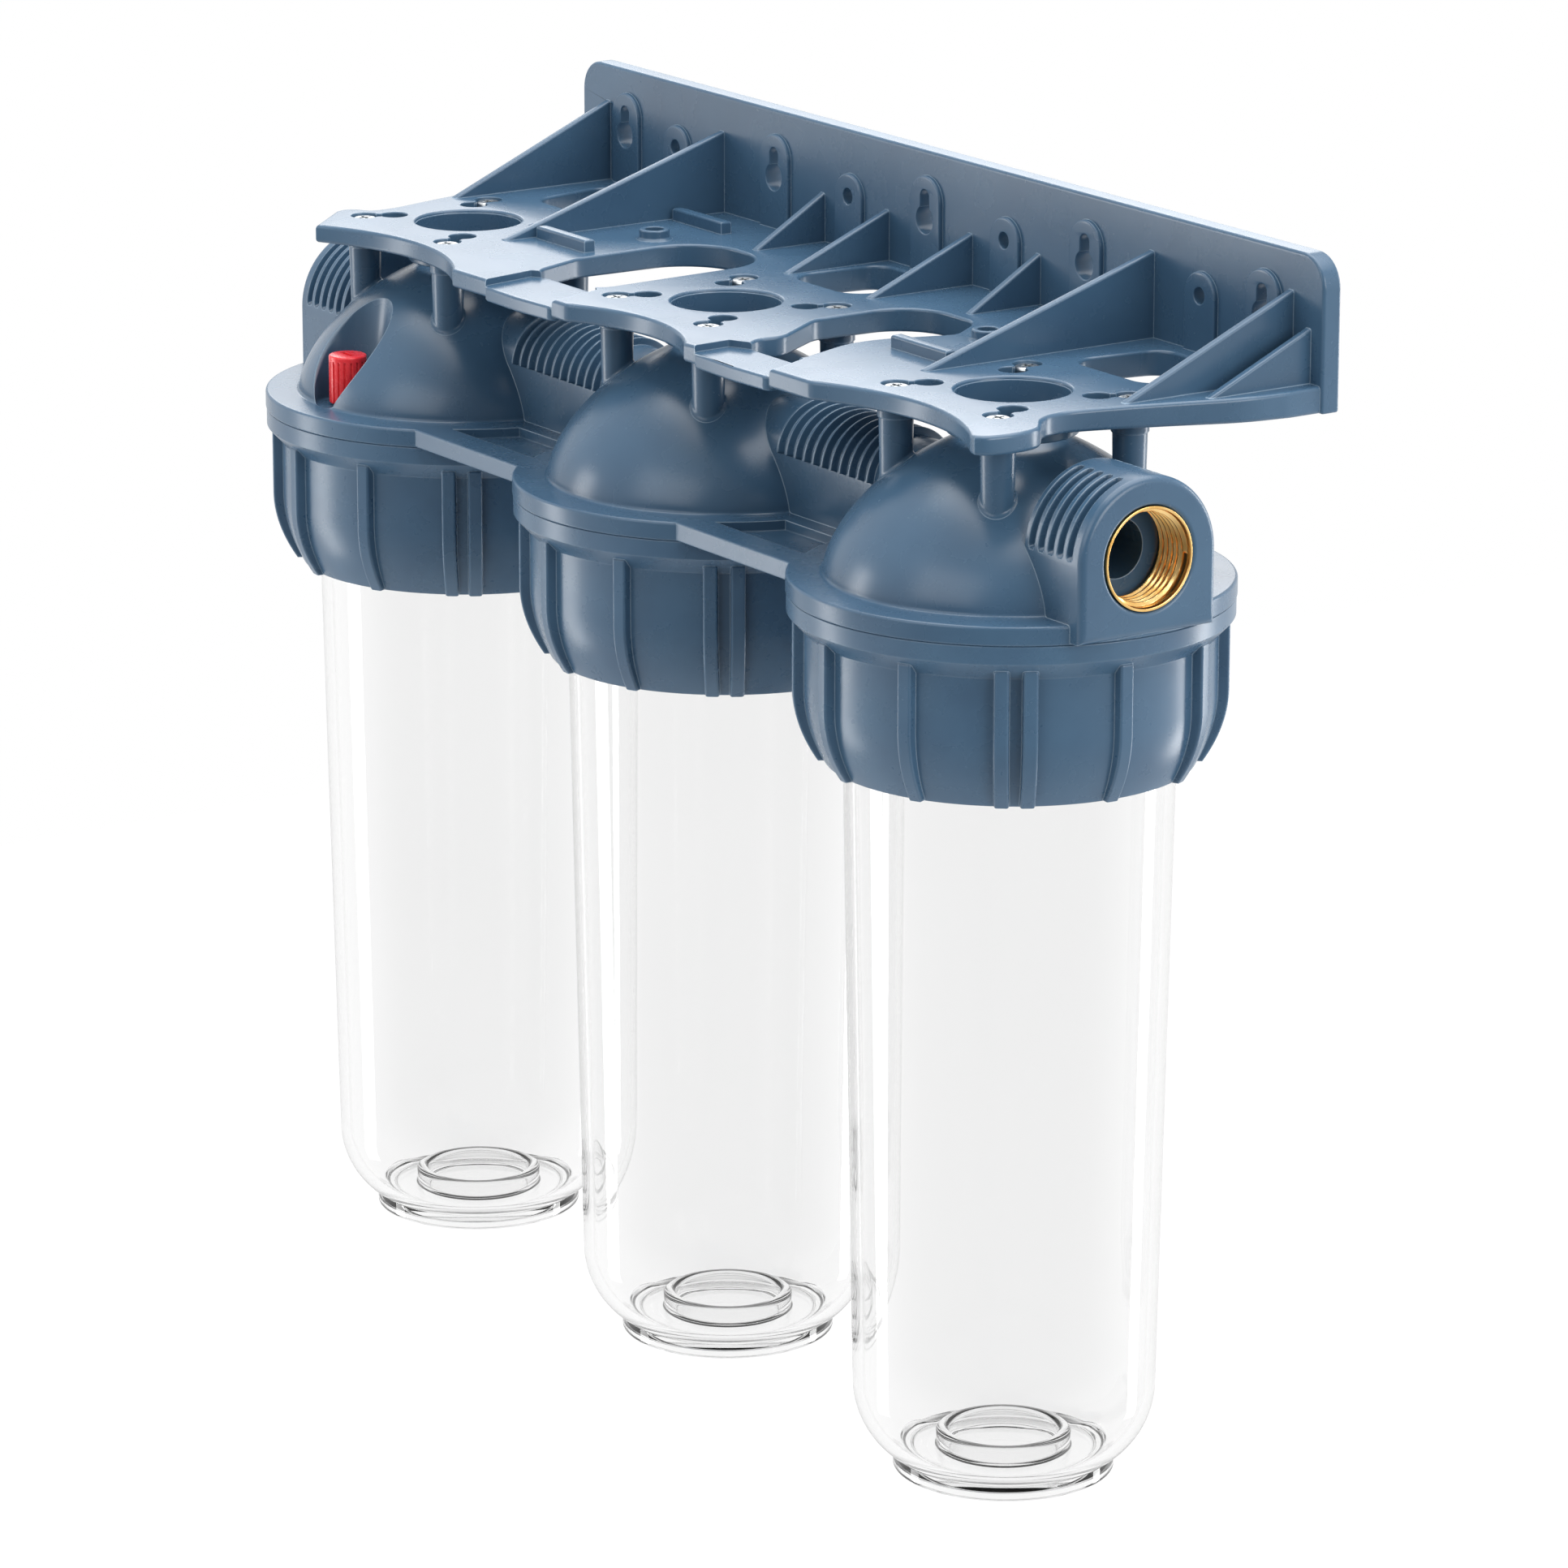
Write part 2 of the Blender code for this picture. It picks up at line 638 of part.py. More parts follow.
# A polygon whose corners (x, y, radius) are rounded
def rounded(corners, steps=CORNER_STEPS):
    points = []
    for i, (x, y, radius) in enumerate(corners):
        px, py = corners[i - 1][:2]
        nx, ny = corners[(i + 1) % len(corners)][:2]
        back, ahead = math.hypot(px - x, py - y), math.hypot(nx - x, ny - y)
        ux, uy, vx, vy = (px - x) / back, (py - y) / back, (nx - x) / ahead, (ny - y) / ahead
        half = math.acos(max(-1, min(1, ux * vx + uy * vy))) / 2
        reach = radius / math.tan(half)
        bx, by = ux + vx, uy + vy
        length = math.hypot(bx, by)
        cx = x + bx / length * radius / math.sin(half)
        cy = y + by / length * radius / math.sin(half)
        first = math.atan2(y + uy * reach - cy, x + ux * reach - cx)
        last = math.atan2(y + vy * reach - cy, x + vx * reach - cx)
        turn = (last - first + math.pi) % (2 * math.pi) - math.pi
        points += circle((cx, cy), radius, steps, first, first + turn)
    return points


def shelf_outline():
    front = []
    for scallop in SCALLOP_SHARES:
        front += arc_through(*[on_shelf(shares) for shares in scallop], SCALLOP_STEPS)
    outlet_end = [on_shelf(shares) for shares in OUTLET_END_SHARES]
    inlet_end = [on_shelf(shares) for shares in reversed(INLET_END_SHARES)]
    wall = [(PLATE_HALF, -PLATE_THICK / 2), (-PLATE_HALF, -PLATE_THICK / 2)]
    return front + outlet_end + wall + inlet_end


def window_outline(corners):
    return rounded([on_shelf(corner) + (corner[2] * HEAD_PITCH,) for corner in corners])


# Height of the shelf's underside, which falls from the front edge to the wall
def underside(y):
    share = 1 + y / (AXIS_TO_WALL + SHELF_FRONT)
    return -SHELF_THICK_FRONT - (SHELF_THICK_WALL - SHELF_THICK_FRONT) * share


def shelf():
    loops = [shelf_outline()] + [window_outline(corners) for corners in WINDOW_SHARES]
    obj = prism("shelf", loops, -SHELF_THICK_FRONT, 0)
    for vertex in obj.data.vertices:
        if vertex.co.z < -SHELF_THICK_FRONT / 2:
            vertex.co.z = underside(vertex.co.y)
    return obj


def wall_plate():
    centre, height = PLATE_HALF - PLATE_CORNER, PLATE_TOP - PLATE_CORNER
    outline = [(-PLATE_HALF, underside(0)), (PLATE_HALF, underside(0))]
    outline += circle((centre, height), PLATE_CORNER, CORNER_STEPS, 0, math.pi / 2)
    outline += circle((-centre, height), PLATE_CORNER, CORNER_STEPS, math.pi / 2, math.pi)
    return stand_along_y(prism("plate", [outline], -PLATE_THICK, 0))


def pad(x, half, top):
    arch = circle((x, top - half), half, ARCH_STEPS, 0, math.pi)
    outline = [(x + half, -EMBED)] + arch + [(x - half, -EMBED)]
    return stand_along_y(prism("pad", [outline], -PLATE_THICK - PAD_PROUD, -PLATE_THICK + EMBED))


def key_hole(x):
    first = math.pi / 2 + math.asin(KEY_NECK_HALF / KEY_HOLE_RADIUS)
    bulb = circle((x, KEY_HOLE_HEIGHT), KEY_HOLE_RADIUS, HOLE_STEPS, first, 3 * math.pi - first)
    neck = circle((x, KEY_NECK_TOP - KEY_NECK_HALF), KEY_NECK_HALF, NECK_STEPS, 0, math.pi)
    return stand_along_y(prism("key_hole", [bulb + neck], -PLATE_THICK - PAD_PROUD - OVERRUN, OVERRUN))


def round_hole(x):
    loop = circle((x, ROUND_HOLE_HEIGHT), ROUND_HOLE_RADIUS)
    return stand_along_y(prism("round_hole", [loop], -PLATE_THICK - PAD_PROUD - OVERRUN, OVERRUN))


def gusset(side, along_share, height_share, tip_share):
    x, tip = on_shelf((side * along_share, tip_share))
    height = height_share * PLATE_TOP
    wall = -PLATE_THICK + EMBED
    outline = [(wall, -EMBED), (wall, height), (-PLATE_THICK, height), (tip, 0), (tip, -EMBED)]
    return stand_along_x(prism("gusset", [outline], x - GUSSET_THICK / 2, x + GUSSET_THICK / 2))


def box(name, x, y, z):
    return prism(name, [[(x[0], y[0]), (x[1], y[0]), (x[1], y[1]), (x[0], y[1])]], z[0], z[1])


def bars():
    pieces = []
    for side in (-1, 1):
        ends = sorted(along_row(side * share) for share in BAR_END_SHARES)
        for row in BAR_ROW_SHARES:
            y = across_shelf(row)
            pieces.append(box("bar", ends, (y - BAR_WIDTH / 2, y + BAR_WIDTH / 2), (-EMBED, BAR_HEIGHT)))
    return merged("bars", pieces)


# Four places round each head's axis, at these shares of the dome's radius to either side, front and back
def round_each_head(shares):
    return [
        (x + across * shares[0] * DOME_RADIUS, y + along * shares[1] * DOME_RADIUS)
        for x, y in map(head_place, STAGES)
        for across in (-1, 1)
        for along in (-1, 1)
    ]


def upright_holes(name, places, radius, low, high, steps=HOLE_STEPS):
    return merged(name, [cylinder(name, radius, low, high, place, steps) for place in places])


# The outer round of each screw slot, with the neck that opens it to the inner round
def slot_recesses():
    pieces = []
    for (ox, oy), (ix, iy) in zip(round_each_head(SLOT_OUTER_SHARES), round_each_head(SLOT_INNER_SHARES)):
        length = math.hypot(ix - ox, iy - oy)
        ux, uy = (ix - ox) / length, (iy - oy) / length
        heading, open_half = math.atan2(uy, ux), math.asin(SLOT_NECK / SLOT_RADIUS)
        first, last = heading + open_half, heading + 2 * math.pi - open_half
        outer = circle((ox, oy), SLOT_RADIUS, HOLE_STEPS, first, last)
        neck = [
            (ix + uy * SLOT_NECK, iy - ux * SLOT_NECK),
            (ix - uy * SLOT_NECK, iy + ux * SLOT_NECK),
        ]
        pieces.append(prism("slot_recess", [outer + neck], SLOT_FLOOR, OVERRUN))
    return merged("slot_recesses", pieces)


def strips(name, low, high):
    pieces = [prism(name, [[on_shelf(shares) for shares in outline]], low, high) for outline in STRIP_SHARES]
    return merged(name, pieces)


def pads():
    keys = [pad(along_row(share), KEY_PAD_HALF, KEY_PAD_TOP) for share in KEY_PAD_SHARES]
    rounds = [pad(along_row(share), ROUND_PAD_HALF, ROUND_PAD_TOP) for share in ROUND_PAD_SHARES]
    return merged("pads", keys + rounds)


def wall_holes():
    keys = [key_hole(along_row(share)) for share in KEY_PAD_SHARES]
    rounds = [round_hole(along_row(share)) for share in ROUND_PAD_SHARES]
    return merged("wall_holes", keys + rounds)


def wall_bracket(material):
    deep = -SHELF_THICK_WALL - OVERRUN
    bracket = shelf()
    bracket.name = "wall_bracket"
    cut(bracket, strips("strip_recesses", -STRIP_DROP, OVERRUN), solver=LONG_CHAIN)
    cups = [head_place(stage) for stage in STAGES]
    screw_places = round_each_head(SLOT_OUTER_SHARES)
    bosses = [on_shelf((side * BOSS_SHARES[0], BOSS_SHARES[1])) for side in (-1, 1)]
    join(
        bracket,
        strips("strips", -STRIP_DROP - STRIP_THICK, -STRIP_DROP - SEAT_GAP),
        wall_plate(),
        pads(),
        merged("gussets", [gusset(side, *shares) for side in (-1, 1) for shares in GUSSET_SHARES]),
        bars(),
        upright_holes("bosses", bosses, BOSS_RADIUS, -EMBED, BOSS_HEIGHT),
        upright_holes("collars", cups, CUP_RADIUS + COLLAR_WALL, COLLAR_BOTTOM, -EMBED, RING_STEPS),
        solver=LONG_CHAIN,
    )
    through = merged("through_holes", [
        upright_holes("cups", cups, CUP_RADIUS, COLLAR_BOTTOM - OVERRUN, OVERRUN, RING_STEPS),
        upright_holes("boss_holes", bosses, BOSS_HOLE, deep, BOSS_HEIGHT + OVERRUN),
        upright_holes("slot_inners", round_each_head(SLOT_INNER_SHARES), SLOT_RADIUS, deep, OVERRUN),
        upright_holes("shank_holes", screw_places, SCREW_HOLE_RADIUS, deep, OVERRUN, SCREW_STEPS),
    ])
    cut(bracket, through, slot_recesses(), wall_holes(), solver=LONG_CHAIN)
    return finish(bracket, material)


def dome_height(radius, outer=DOME_RADIUS, top=DOME_TOP, base=FLANGE_TOP):
    share = min(1, radius / outer)
    return base + (top - base) * (1 - share ** DOME_POWER) ** (1 / DOME_POWER)


def dome_profile(outer, top, base, rings):
    points = []
    for i in range(rings + 1):
        radius = outer * math.sin(math.pi / 2 * i / rings)
        points.append((radius, dome_height(radius, outer, top, base)))
    return points


def head_body(stage):
    profile = dome_profile(DOME_RADIUS, DOME_TOP, FLANGE_TOP, DOME_RINGS) + [
        (FLANGE_RADIUS, FLANGE_TOP),
        (FLANGE_RADIUS, FLANGE_BOTTOM),
        (COLLAR_RADIUS, FLANGE_BOTTOM),
        (COLLAR_RADIUS, COLLAR_END),
        (0, COLLAR_END),
    ]
    return moved(settle(turned(f"head_body_{stage}", profile, DOME_STEPS)), head_place(stage))


# The inside of one head, with the middle column and the duct that leads on from it left standing
def chamber(stage):
    profile = dome_profile(CHAMBER_RADIUS, DOME_TOP - HEAD_WALL, FLANGE_TOP, CHAMBER_RINGS) + [
        (CHAMBER_RADIUS, COLLAR_END - OVERRUN),
        (0, COLLAR_END - OVERRUN),
    ]
    obj = moved(settle(turned(f"chamber_{stage}", profile, CHAMBER_STEPS)), head_place(stage))
    column = cylinder(f"column_{stage}", COLUMN_RADIUS, COLUMN_END, 0, head_place(stage), RING_STEPS)
    inside, outside = head_x(stage) + COLUMN_BORE / 2, head_x(stage) + CHAMBER_RADIUS + OVERRUN
    duct = cylinder(f"duct_{stage}", DUCT_RADIUS, inside, outside, steps=RING_STEPS)
    cut(obj, column, lay_along_x(duct, PASSAGE_AXIS), solver=LONG_CHAIN)
    if stage == STAGES[0]:
        jacket = [
            (0, NICHE_HIGH + OVERRUN),
            (NICHE_RADIUS_HIGH + NICHE_WALL, NICHE_HIGH + OVERRUN),
            (NICHE_RADIUS_LOW + NICHE_WALL, FLANGE_TOP),
            (NICHE_RADIUS_LOW + NICHE_WALL, FLANGE_TOP - NICHE_FLOOR_THICK),
            (0, FLANGE_TOP - NICHE_FLOOR_THICK),
        ]
        cut(obj, moved(settle(turned("niche_jacket", jacket, RING_STEPS)), vent_place()), solver=LONG_CHAIN)
    return obj


def niche():
    profile = [
        (0, NICHE_HIGH),
        (NICHE_RADIUS_HIGH, NICHE_HIGH),
        (NICHE_RADIUS_LOW, FLANGE_TOP - NICHE_SINK),
        (0, FLANGE_TOP - NICHE_SINK),
    ]
    return moved(settle(turned("niche", profile, RING_STEPS)), vent_place())


# A block with a half-round top over upright sides, running along X
def arched_block(name, half, bottom, start, end):
    arch = circle((-AXIS_TO_WALL, PASSAGE_AXIS), half, ARCH_STEPS, 0, math.pi)
    outline = [(-AXIS_TO_WALL + half, bottom)] + arch + [(-AXIS_TO_WALL - half, bottom)]
    return stand_along_x(prism(name, [outline], start, end))


def arch_groove(half, x, width, start=0.0, end=math.pi):
    steps = round(ARCH_STEPS * (end - start) / math.pi)
    outer = circle((-AXIS_TO_WALL, PASSAGE_AXIS), half + OVERRUN, steps, start, end)
    inner = circle((-AXIS_TO_WALL, PASSAGE_AXIS), half - GROOVE_DEPTH, steps, start, end)
    return stand_along_x(prism("groove", [outer + list(reversed(inner))], x - width / 2, x + width / 2))


def grooves():
    pieces = []
    for side in (-1, 1):
        middle = side * HEAD_PITCH / 2
        for i in range(GROOVES_PER_PASSAGE):
            x = middle + (i - (GROOVES_PER_PASSAGE - 1) / 2) * GROOVE_PITCH
            pieces.append(arch_groove(PASSAGE_HALF, x, GROOVE_WIDTH))
        for i in range(PORT_GROOVES):
            x = side * (PORT_GROOVE_START + i * PORT_GROOVE_PITCH)
            pieces.append(arch_groove(PORT_HALF, x, PORT_GROOVE_WIDTH, 0, PORT_GROOVE_TURN))
            pieces.append(arch_groove(PORT_HALF, x, PORT_GROOVE_WIDTH, math.pi - PORT_GROOVE_TURN, math.pi))
    return merged("grooves", pieces)


# A shallow pocket in the web between two neighbouring flanges, on the side given by its sign
def web_pocket(side, between):
    middle = between * HEAD_PITCH / 2
    near = side * math.asin(WEB_POCKET_INNER / WEB_POCKET_RADIUS)
    far = side * math.asin(WEB_RIM / WEB_POCKET_RADIUS)
    left_head, right_head = (middle - HEAD_PITCH / 2, -AXIS_TO_WALL), (middle + HEAD_PITCH / 2, -AXIS_TO_WALL)
    outline = circle(left_head, WEB_POCKET_RADIUS, CURVE_RINGS, near, far)
    outline += circle(right_head, WEB_POCKET_RADIUS, CURVE_RINGS, math.pi - far, math.pi - near)
    return prism("web_pocket", [outline], FLANGE_TOP - WEB_POCKET_DEPTH, FLANGE_TOP + OVERRUN)


def lying_holes(name, runs, radius, steps=RING_STEPS):
    holes = [cylinder(name, radius, start, end, steps=steps) for start, end in runs]
    return merged(name, [lay_along_x(hole, PASSAGE_AXIS) for hole in holes])


def posts():
    places = round_each_head(SLOT_OUTER_SHARES)
    return merged("posts", [
        cylinder("post", POST_RADIUS, POST_FOOT, underside(place[1]) - SEAT_GAP, place) for place in places
    ])


def manifold_head(material):
    web_y = (-WEB_HALF - AXIS_TO_WALL, WEB_HALF - AXIS_TO_WALL)
    head = box("manifold_head", (-HEAD_PITCH, HEAD_PITCH), web_y, (FLANGE_BOTTOM, FLANGE_TOP))
    port_blocks = [
        arched_block("port_block", PORT_HALF, PORT_BOTTOM, start, end)
        for start, end in ((-PORT_FACE, -PORT_ROOT), (PORT_ROOT, PORT_FACE))
    ]
    join(
        head,
        *[head_body(stage) for stage in STAGES],
        arched_block("passages", PASSAGE_HALF, FLANGE_BOTTOM + EMBED, -PASSAGE_REACH, PASSAGE_REACH),
        merged("port_blocks", port_blocks),
        posts(),
        solver=LONG_CHAIN,
    )
    pockets = [web_pocket(side, between) for side in (-1, 1) for between in (-1, 1)]
    columns = [head_place(stage) for stage in STAGES]
    screw_places, screw_end = round_each_head(SLOT_OUTER_SHARES), SCREW_TIP - SEAT_GAP
    starts = [head_x(stage) - DUCT_BORE_START for stage in STAGES]
    runs = [(start, head_x(stage + 1) - BORE_END_TO_AXIS) for stage, start in zip(STAGES[:-1], starts)]
    runs += [(starts[-1], PORT_FACE - OVERRUN)]
    runs += [(-PORT_FACE + OVERRUN, head_x(STAGES[0]) - BORE_END_TO_AXIS)]
    depth = INSERT_LENGTH + SEAT_GAP
    sockets = [(-PORT_FACE - OVERRUN, -PORT_FACE + depth), (PORT_FACE - depth, PORT_FACE + OVERRUN)]
    above = FLANGE_TOP + OVERRUN
    stem_bore = VENT_STEM_RADIUS + VENT_STEM_FIT
    pocket_floor = FLANGE_TOP - VENT_POCKET_DEPTH
    cut(
        head,
        merged("web_pockets", pockets),
        niche(),
        grooves(),
        *[chamber(stage) for stage in STAGES],
        upright_holes("column_bores", columns, COLUMN_BORE, COLUMN_END - OVERRUN, PASSAGE_AXIS),
        lying_holes("duct_bores", runs, DUCT_BORE, HOLE_STEPS),
        lying_holes("insert_sockets", sockets, INSERT_RADIUS + SEAT_GAP),
        upright_holes("post_holes", screw_places, SCREW_HOLE_RADIUS, screw_end, OVERRUN, SCREW_STEPS),
        cylinder("vent_hole", stem_bore, VENT_STEM_END, above, vent_place(), RING_STEPS),
        cylinder("vent_pocket", VENT_POCKET_RADIUS, pocket_floor, above, vent_place(), RING_STEPS),
        solver=LONG_CHAIN,
    )
    return finish(head, material)


# A threaded brass sleeve, its mouth chamfered at the face of the port block
def port_insert(name, side, material):
    profile = [
        (INSERT_MOUTH, 0),
        (INSERT_RADIUS, 0),
        (INSERT_RADIUS, -INSERT_LENGTH),
        (INSERT_BORE, -INSERT_LENGTH),
        (INSERT_BORE, -INSERT_CHAMFER),
    ]
    obj = settle(turned(name, profile, RING_STEPS, closed=True))
    if side < 0:
        obj.data.transform(Matrix.Rotation(math.pi, 4, "X"))
    obj.data.transform(Matrix.Rotation(math.pi / 2, 4, "Y"))
    obj.location = (side * PORT_FACE, -AXIS_TO_WALL, PASSAGE_AXIS)
    return finish(obj, material)


# The lower skirt draws in as the start of a large round: its radius falls with the square of the depth
def skirt(start_radius, end_radius, rings):
    points = []
    for i in range(rings + 1):
        share = i / rings
        radius = start_radius + (end_radius - start_radius) * share ** 2
        points.append((radius, NUT_CURVE_START + (NUT_BOTTOM - NUT_CURVE_START) * share))
    return points


def union_nut(stage, material, parent):
    profile = [
        (NUT_BORE, NUT_TOP),
        (NUT_RIM_RADIUS, NUT_TOP),
        (NUT_RIM_RADIUS, NUT_RIM_BOTTOM),
        (NUT_BODY_RADIUS, NUT_CHAMFER_END),
    ]
    profile += skirt(NUT_BODY_RADIUS, NUT_FOOT_RADIUS, CURVE_RINGS)
    profile += [
        (NUT_LIP_RADIUS, NUT_BOTTOM),
        (NUT_LIP_RADIUS, NUT_LEDGE),
        (NUT_BORE, NUT_LEDGE),
    ]
    nut = settle(turned(f"union_nut_{stage}", profile, NUT_STEPS, closed=True))
    outline = [(RIB_INNER_TOP, RIB_TOP), (RIB_RADIUS, RIB_TOP)]
    outline += skirt(RIB_RADIUS, RIB_FOOT_RADIUS, CURVE_RINGS)
    outline += [(RIB_INNER_FOOT, NUT_BOTTOM), (RIB_INNER_TOP, NUT_CURVE_START)]
    ribs = []
    for place in range(RIB_PLACES):
        turn = RIB_TURN + 2 * math.pi * place / RIB_PLACES
        pair = place % RIB_PAIR_EVERY == 0
        for offset in ((-RIB_PAIR_TURN, RIB_PAIR_TURN) if pair else (0,)):
            rib = stand_along_y(prism("rib", [outline], -RIB_WIDTH / 2, RIB_WIDTH / 2))
            rib.data.transform(Matrix.Rotation(turn + offset, 4, "Z"))
            ribs.append(rib)
    helper = merged(f"ribs_{stage}", ribs)
    helper.parent = parent
    join(nut, helper)
    nut.parent = parent
    return finish(nut, material)


def bowl(stage, material, parent):
    centre = BOWL_WAIST_RADIUS - BOWL_SHOULDER
    inner = BOWL_SHOULDER - BOWL_WALL
    outer_stop = math.acos((BOWL_FOOT_RADIUS - centre) / BOWL_SHOULDER)
    inner_stop = math.asin((BOWL_WAIST - BOWL_FLOOR) / inner)
    rings = CURVE_RINGS

    def shoulder(radius, stop, i):
        angle = stop * i / rings
        return (centre + radius * math.cos(angle), BOWL_WAIST - radius * math.sin(angle))

    profile = [
        (BOWL_FLANGE_RADIUS, BOWL_FLANGE_TOP),
        (BOWL_FLANGE_RADIUS, BOWL_FLANGE_BOTTOM),
        (BOWL_NECK_RADIUS, BOWL_FLANGE_BOTTOM),
    ]
    profile += [shoulder(BOWL_SHOULDER, outer_stop, i) for i in range(rings + 1)]
    profile += [
        (BOWL_FOOT_RADIUS, BOWL_BOTTOM),
        (BOWL_FOOT_RADIUS - BOWL_FOOT_WALL, BOWL_BOTTOM),
        (BOWL_FOOT_RADIUS - BOWL_FOOT_WALL, BOWL_UNDERSIDE),
        (0, BOWL_UNDERSIDE),
    ]
    top = [
        (0, BOWL_FLOOR),
        (CENTRING_RING_INNER, BOWL_FLOOR),
        (CENTRING_RING_INNER, CENTRING_RING_TOP),
        (CENTRING_RING_OUTER, CENTRING_RING_TOP),
        (CENTRING_RING_OUTER, BOWL_FLOOR),
    ]
    top += [shoulder(inner, inner_stop, rings - i) for i in range(rings + 1)]
    top += [
        (BOWL_NECK_RADIUS - BOWL_WALL, BOWL_FLANGE_TOP),
        (SEAL_RING_RADIUS - SEAL_GROOVE_HALF, BOWL_FLANGE_TOP),
        (SEAL_RING_RADIUS - SEAL_GROOVE_HALF, BOWL_FLANGE_TOP - SEAL_GROOVE_DEPTH),
        (SEAL_RING_RADIUS + SEAL_GROOVE_HALF, BOWL_FLANGE_TOP - SEAL_GROOVE_DEPTH),
        (SEAL_RING_RADIUS + SEAL_GROOVE_HALF, BOWL_FLANGE_TOP),
        (BOWL_FLANGE_RADIUS, BOWL_FLANGE_TOP),
    ]
    obj = settle(turned(f"bowl_{stage}", profile + top, BOWL_STEPS))
    obj.parent = parent
    return finish(obj, material)


def ring(name, ring_radius, cord_radius, height, steps, material, parent):
    profile = circle((ring_radius, height), cord_radius, CORD_STEPS)
    obj = settle(turned(name, list(reversed(profile)), steps, closed=True))
    obj.parent = parent
    return finish(obj, material)


def vent_screw(material, parent):
    foot = FLANGE_TOP + KNOB_FOOT_GAP
    profile = [
        (0, KNOB_TOP),
        (KNOB_RADIUS - KNOB_EDGE, KNOB_TOP),
        (KNOB_RADIUS, KNOB_TOP - KNOB_EDGE),
        (KNOB_RADIUS, foot),
        (VENT_STEM_RADIUS, foot),
        (VENT_STEM_RADIUS, VENT_STEM_END),
        (0, VENT_STEM_END),
    ]
    knob = settle(turned("vent_screw", profile, RING_STEPS))
    flutes = []
    for i in range(KNOB_FLUTES):
        angle = 2 * math.pi * i / KNOB_FLUTES
        centre = (KNOB_RADIUS * math.cos(angle), KNOB_RADIUS * math.sin(angle))
        top = KNOB_TOP - KNOB_FLUTE_DROP
        flutes.append(cylinder("flute", KNOB_FLUTE_RADIUS, foot - OVERRUN, top, centre, CORD_STEPS))
    cross = KNOB_RADIUS + OVERRUN
    half = KNOB_SLOT_WIDTH / 2
    slot = box("vent_slot", (-cross, cross), (-half, half), (KNOB_TOP - KNOB_SLOT_DEPTH, KNOB_TOP + OVERRUN))
    helpers = [merged("vent_flutes", flutes), slot]
    for helper in helpers:
        helper.parent = parent
    cut(knob, *helpers)
    knob.parent = parent
    return finish(knob, material)


def bracket_screw_mesh(material):
    under = SCREW_HEAD_TOP - SCREW_HEAD_THICK
    profile = [
        (0, SCREW_HEAD_TOP),
        (SCREW_HEAD_RADIUS, SCREW_HEAD_TOP),
        (SCREW_HEAD_RADIUS, under),
        (SCREW_SHANK_RADIUS, under),
        (SCREW_SHANK_RADIUS, SCREW_TIP + SCREW_TIP_LENGTH),
        (SCREW_TIP_RADIUS, SCREW_TIP),
        (0, SCREW_TIP),
    ]
    obj = finish(settle(turned("screw", profile, SCREW_STEPS)), material)
    mesh = obj.data
    bpy.data.objects.remove(obj)
    return mesh


def build():
    wall_bracket(new_material("slate_blue_plastic"))
    manifold_head(new_material("slate_blue_head_plastic"))

    brass = new_material("polished_brass")
    port_insert("inlet_insert", -1, brass)
    port_insert("outlet_insert", 1, brass)

    clear, rubber = new_material("clear_bowl_plastic"), new_material("black_rubber")
    blue = new_material("slate_blue_nut_plastic")
    seal_height = BOWL_FLANGE_TOP - SEAL_CORD_RADIUS
    for stage in STAGES:
        axis = empty_at(f"stage_{stage}_axis", head_place(stage) + (0,))
        bowl(stage, clear, axis)
        ring(f"bowl_seal_{stage}", SEAL_RING_RADIUS, SEAL_CORD_RADIUS, seal_height, BOWL_STEPS, rubber, axis)
        union_nut(stage, blue, axis)

    vent_axis = empty_at("vent_axis", vent_place() + (0,))
    vent_screw(new_material("red_vent_plastic"), vent_axis)
    vent_seal_height = FLANGE_TOP - VENT_POCKET_DEPTH + VENT_SEAL_CORD + SEAT_GAP
    ring("vent_seal", VENT_SEAL_RING, VENT_SEAL_CORD, vent_seal_height, SMALL_RING_STEPS, rubber, vent_axis)

    shared = bracket_screw_mesh(new_material("pale_zinc_steel"))
    for number, place in enumerate(round_each_head(SLOT_OUTER_SHARES), start=1):
        new_object(f"bracket_screw_{number}", shared).location = place + (0,)


build()
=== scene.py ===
# Picture of a three-stage water filter housing, on the CAD part's frame.
# All sizes below are in mm. X runs along the row, Y points into the wall, Z is up.

import bmesh
import bpy
import numpy as np
from mathutils import Matrix, Vector
from mathutils.geometry import tessellate_polygon


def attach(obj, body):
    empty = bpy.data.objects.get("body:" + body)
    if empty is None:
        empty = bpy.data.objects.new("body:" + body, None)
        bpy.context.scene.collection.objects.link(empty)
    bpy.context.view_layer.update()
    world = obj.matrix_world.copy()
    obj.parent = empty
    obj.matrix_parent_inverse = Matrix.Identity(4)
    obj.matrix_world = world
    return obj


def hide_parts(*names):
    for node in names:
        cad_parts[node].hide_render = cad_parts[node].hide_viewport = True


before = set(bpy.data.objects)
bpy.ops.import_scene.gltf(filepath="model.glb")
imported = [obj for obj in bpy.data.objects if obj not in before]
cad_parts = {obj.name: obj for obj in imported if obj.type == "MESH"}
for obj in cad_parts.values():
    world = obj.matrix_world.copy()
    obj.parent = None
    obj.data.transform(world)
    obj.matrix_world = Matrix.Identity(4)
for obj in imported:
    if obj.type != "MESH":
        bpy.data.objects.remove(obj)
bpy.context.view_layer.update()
tau = 2 * np.pi

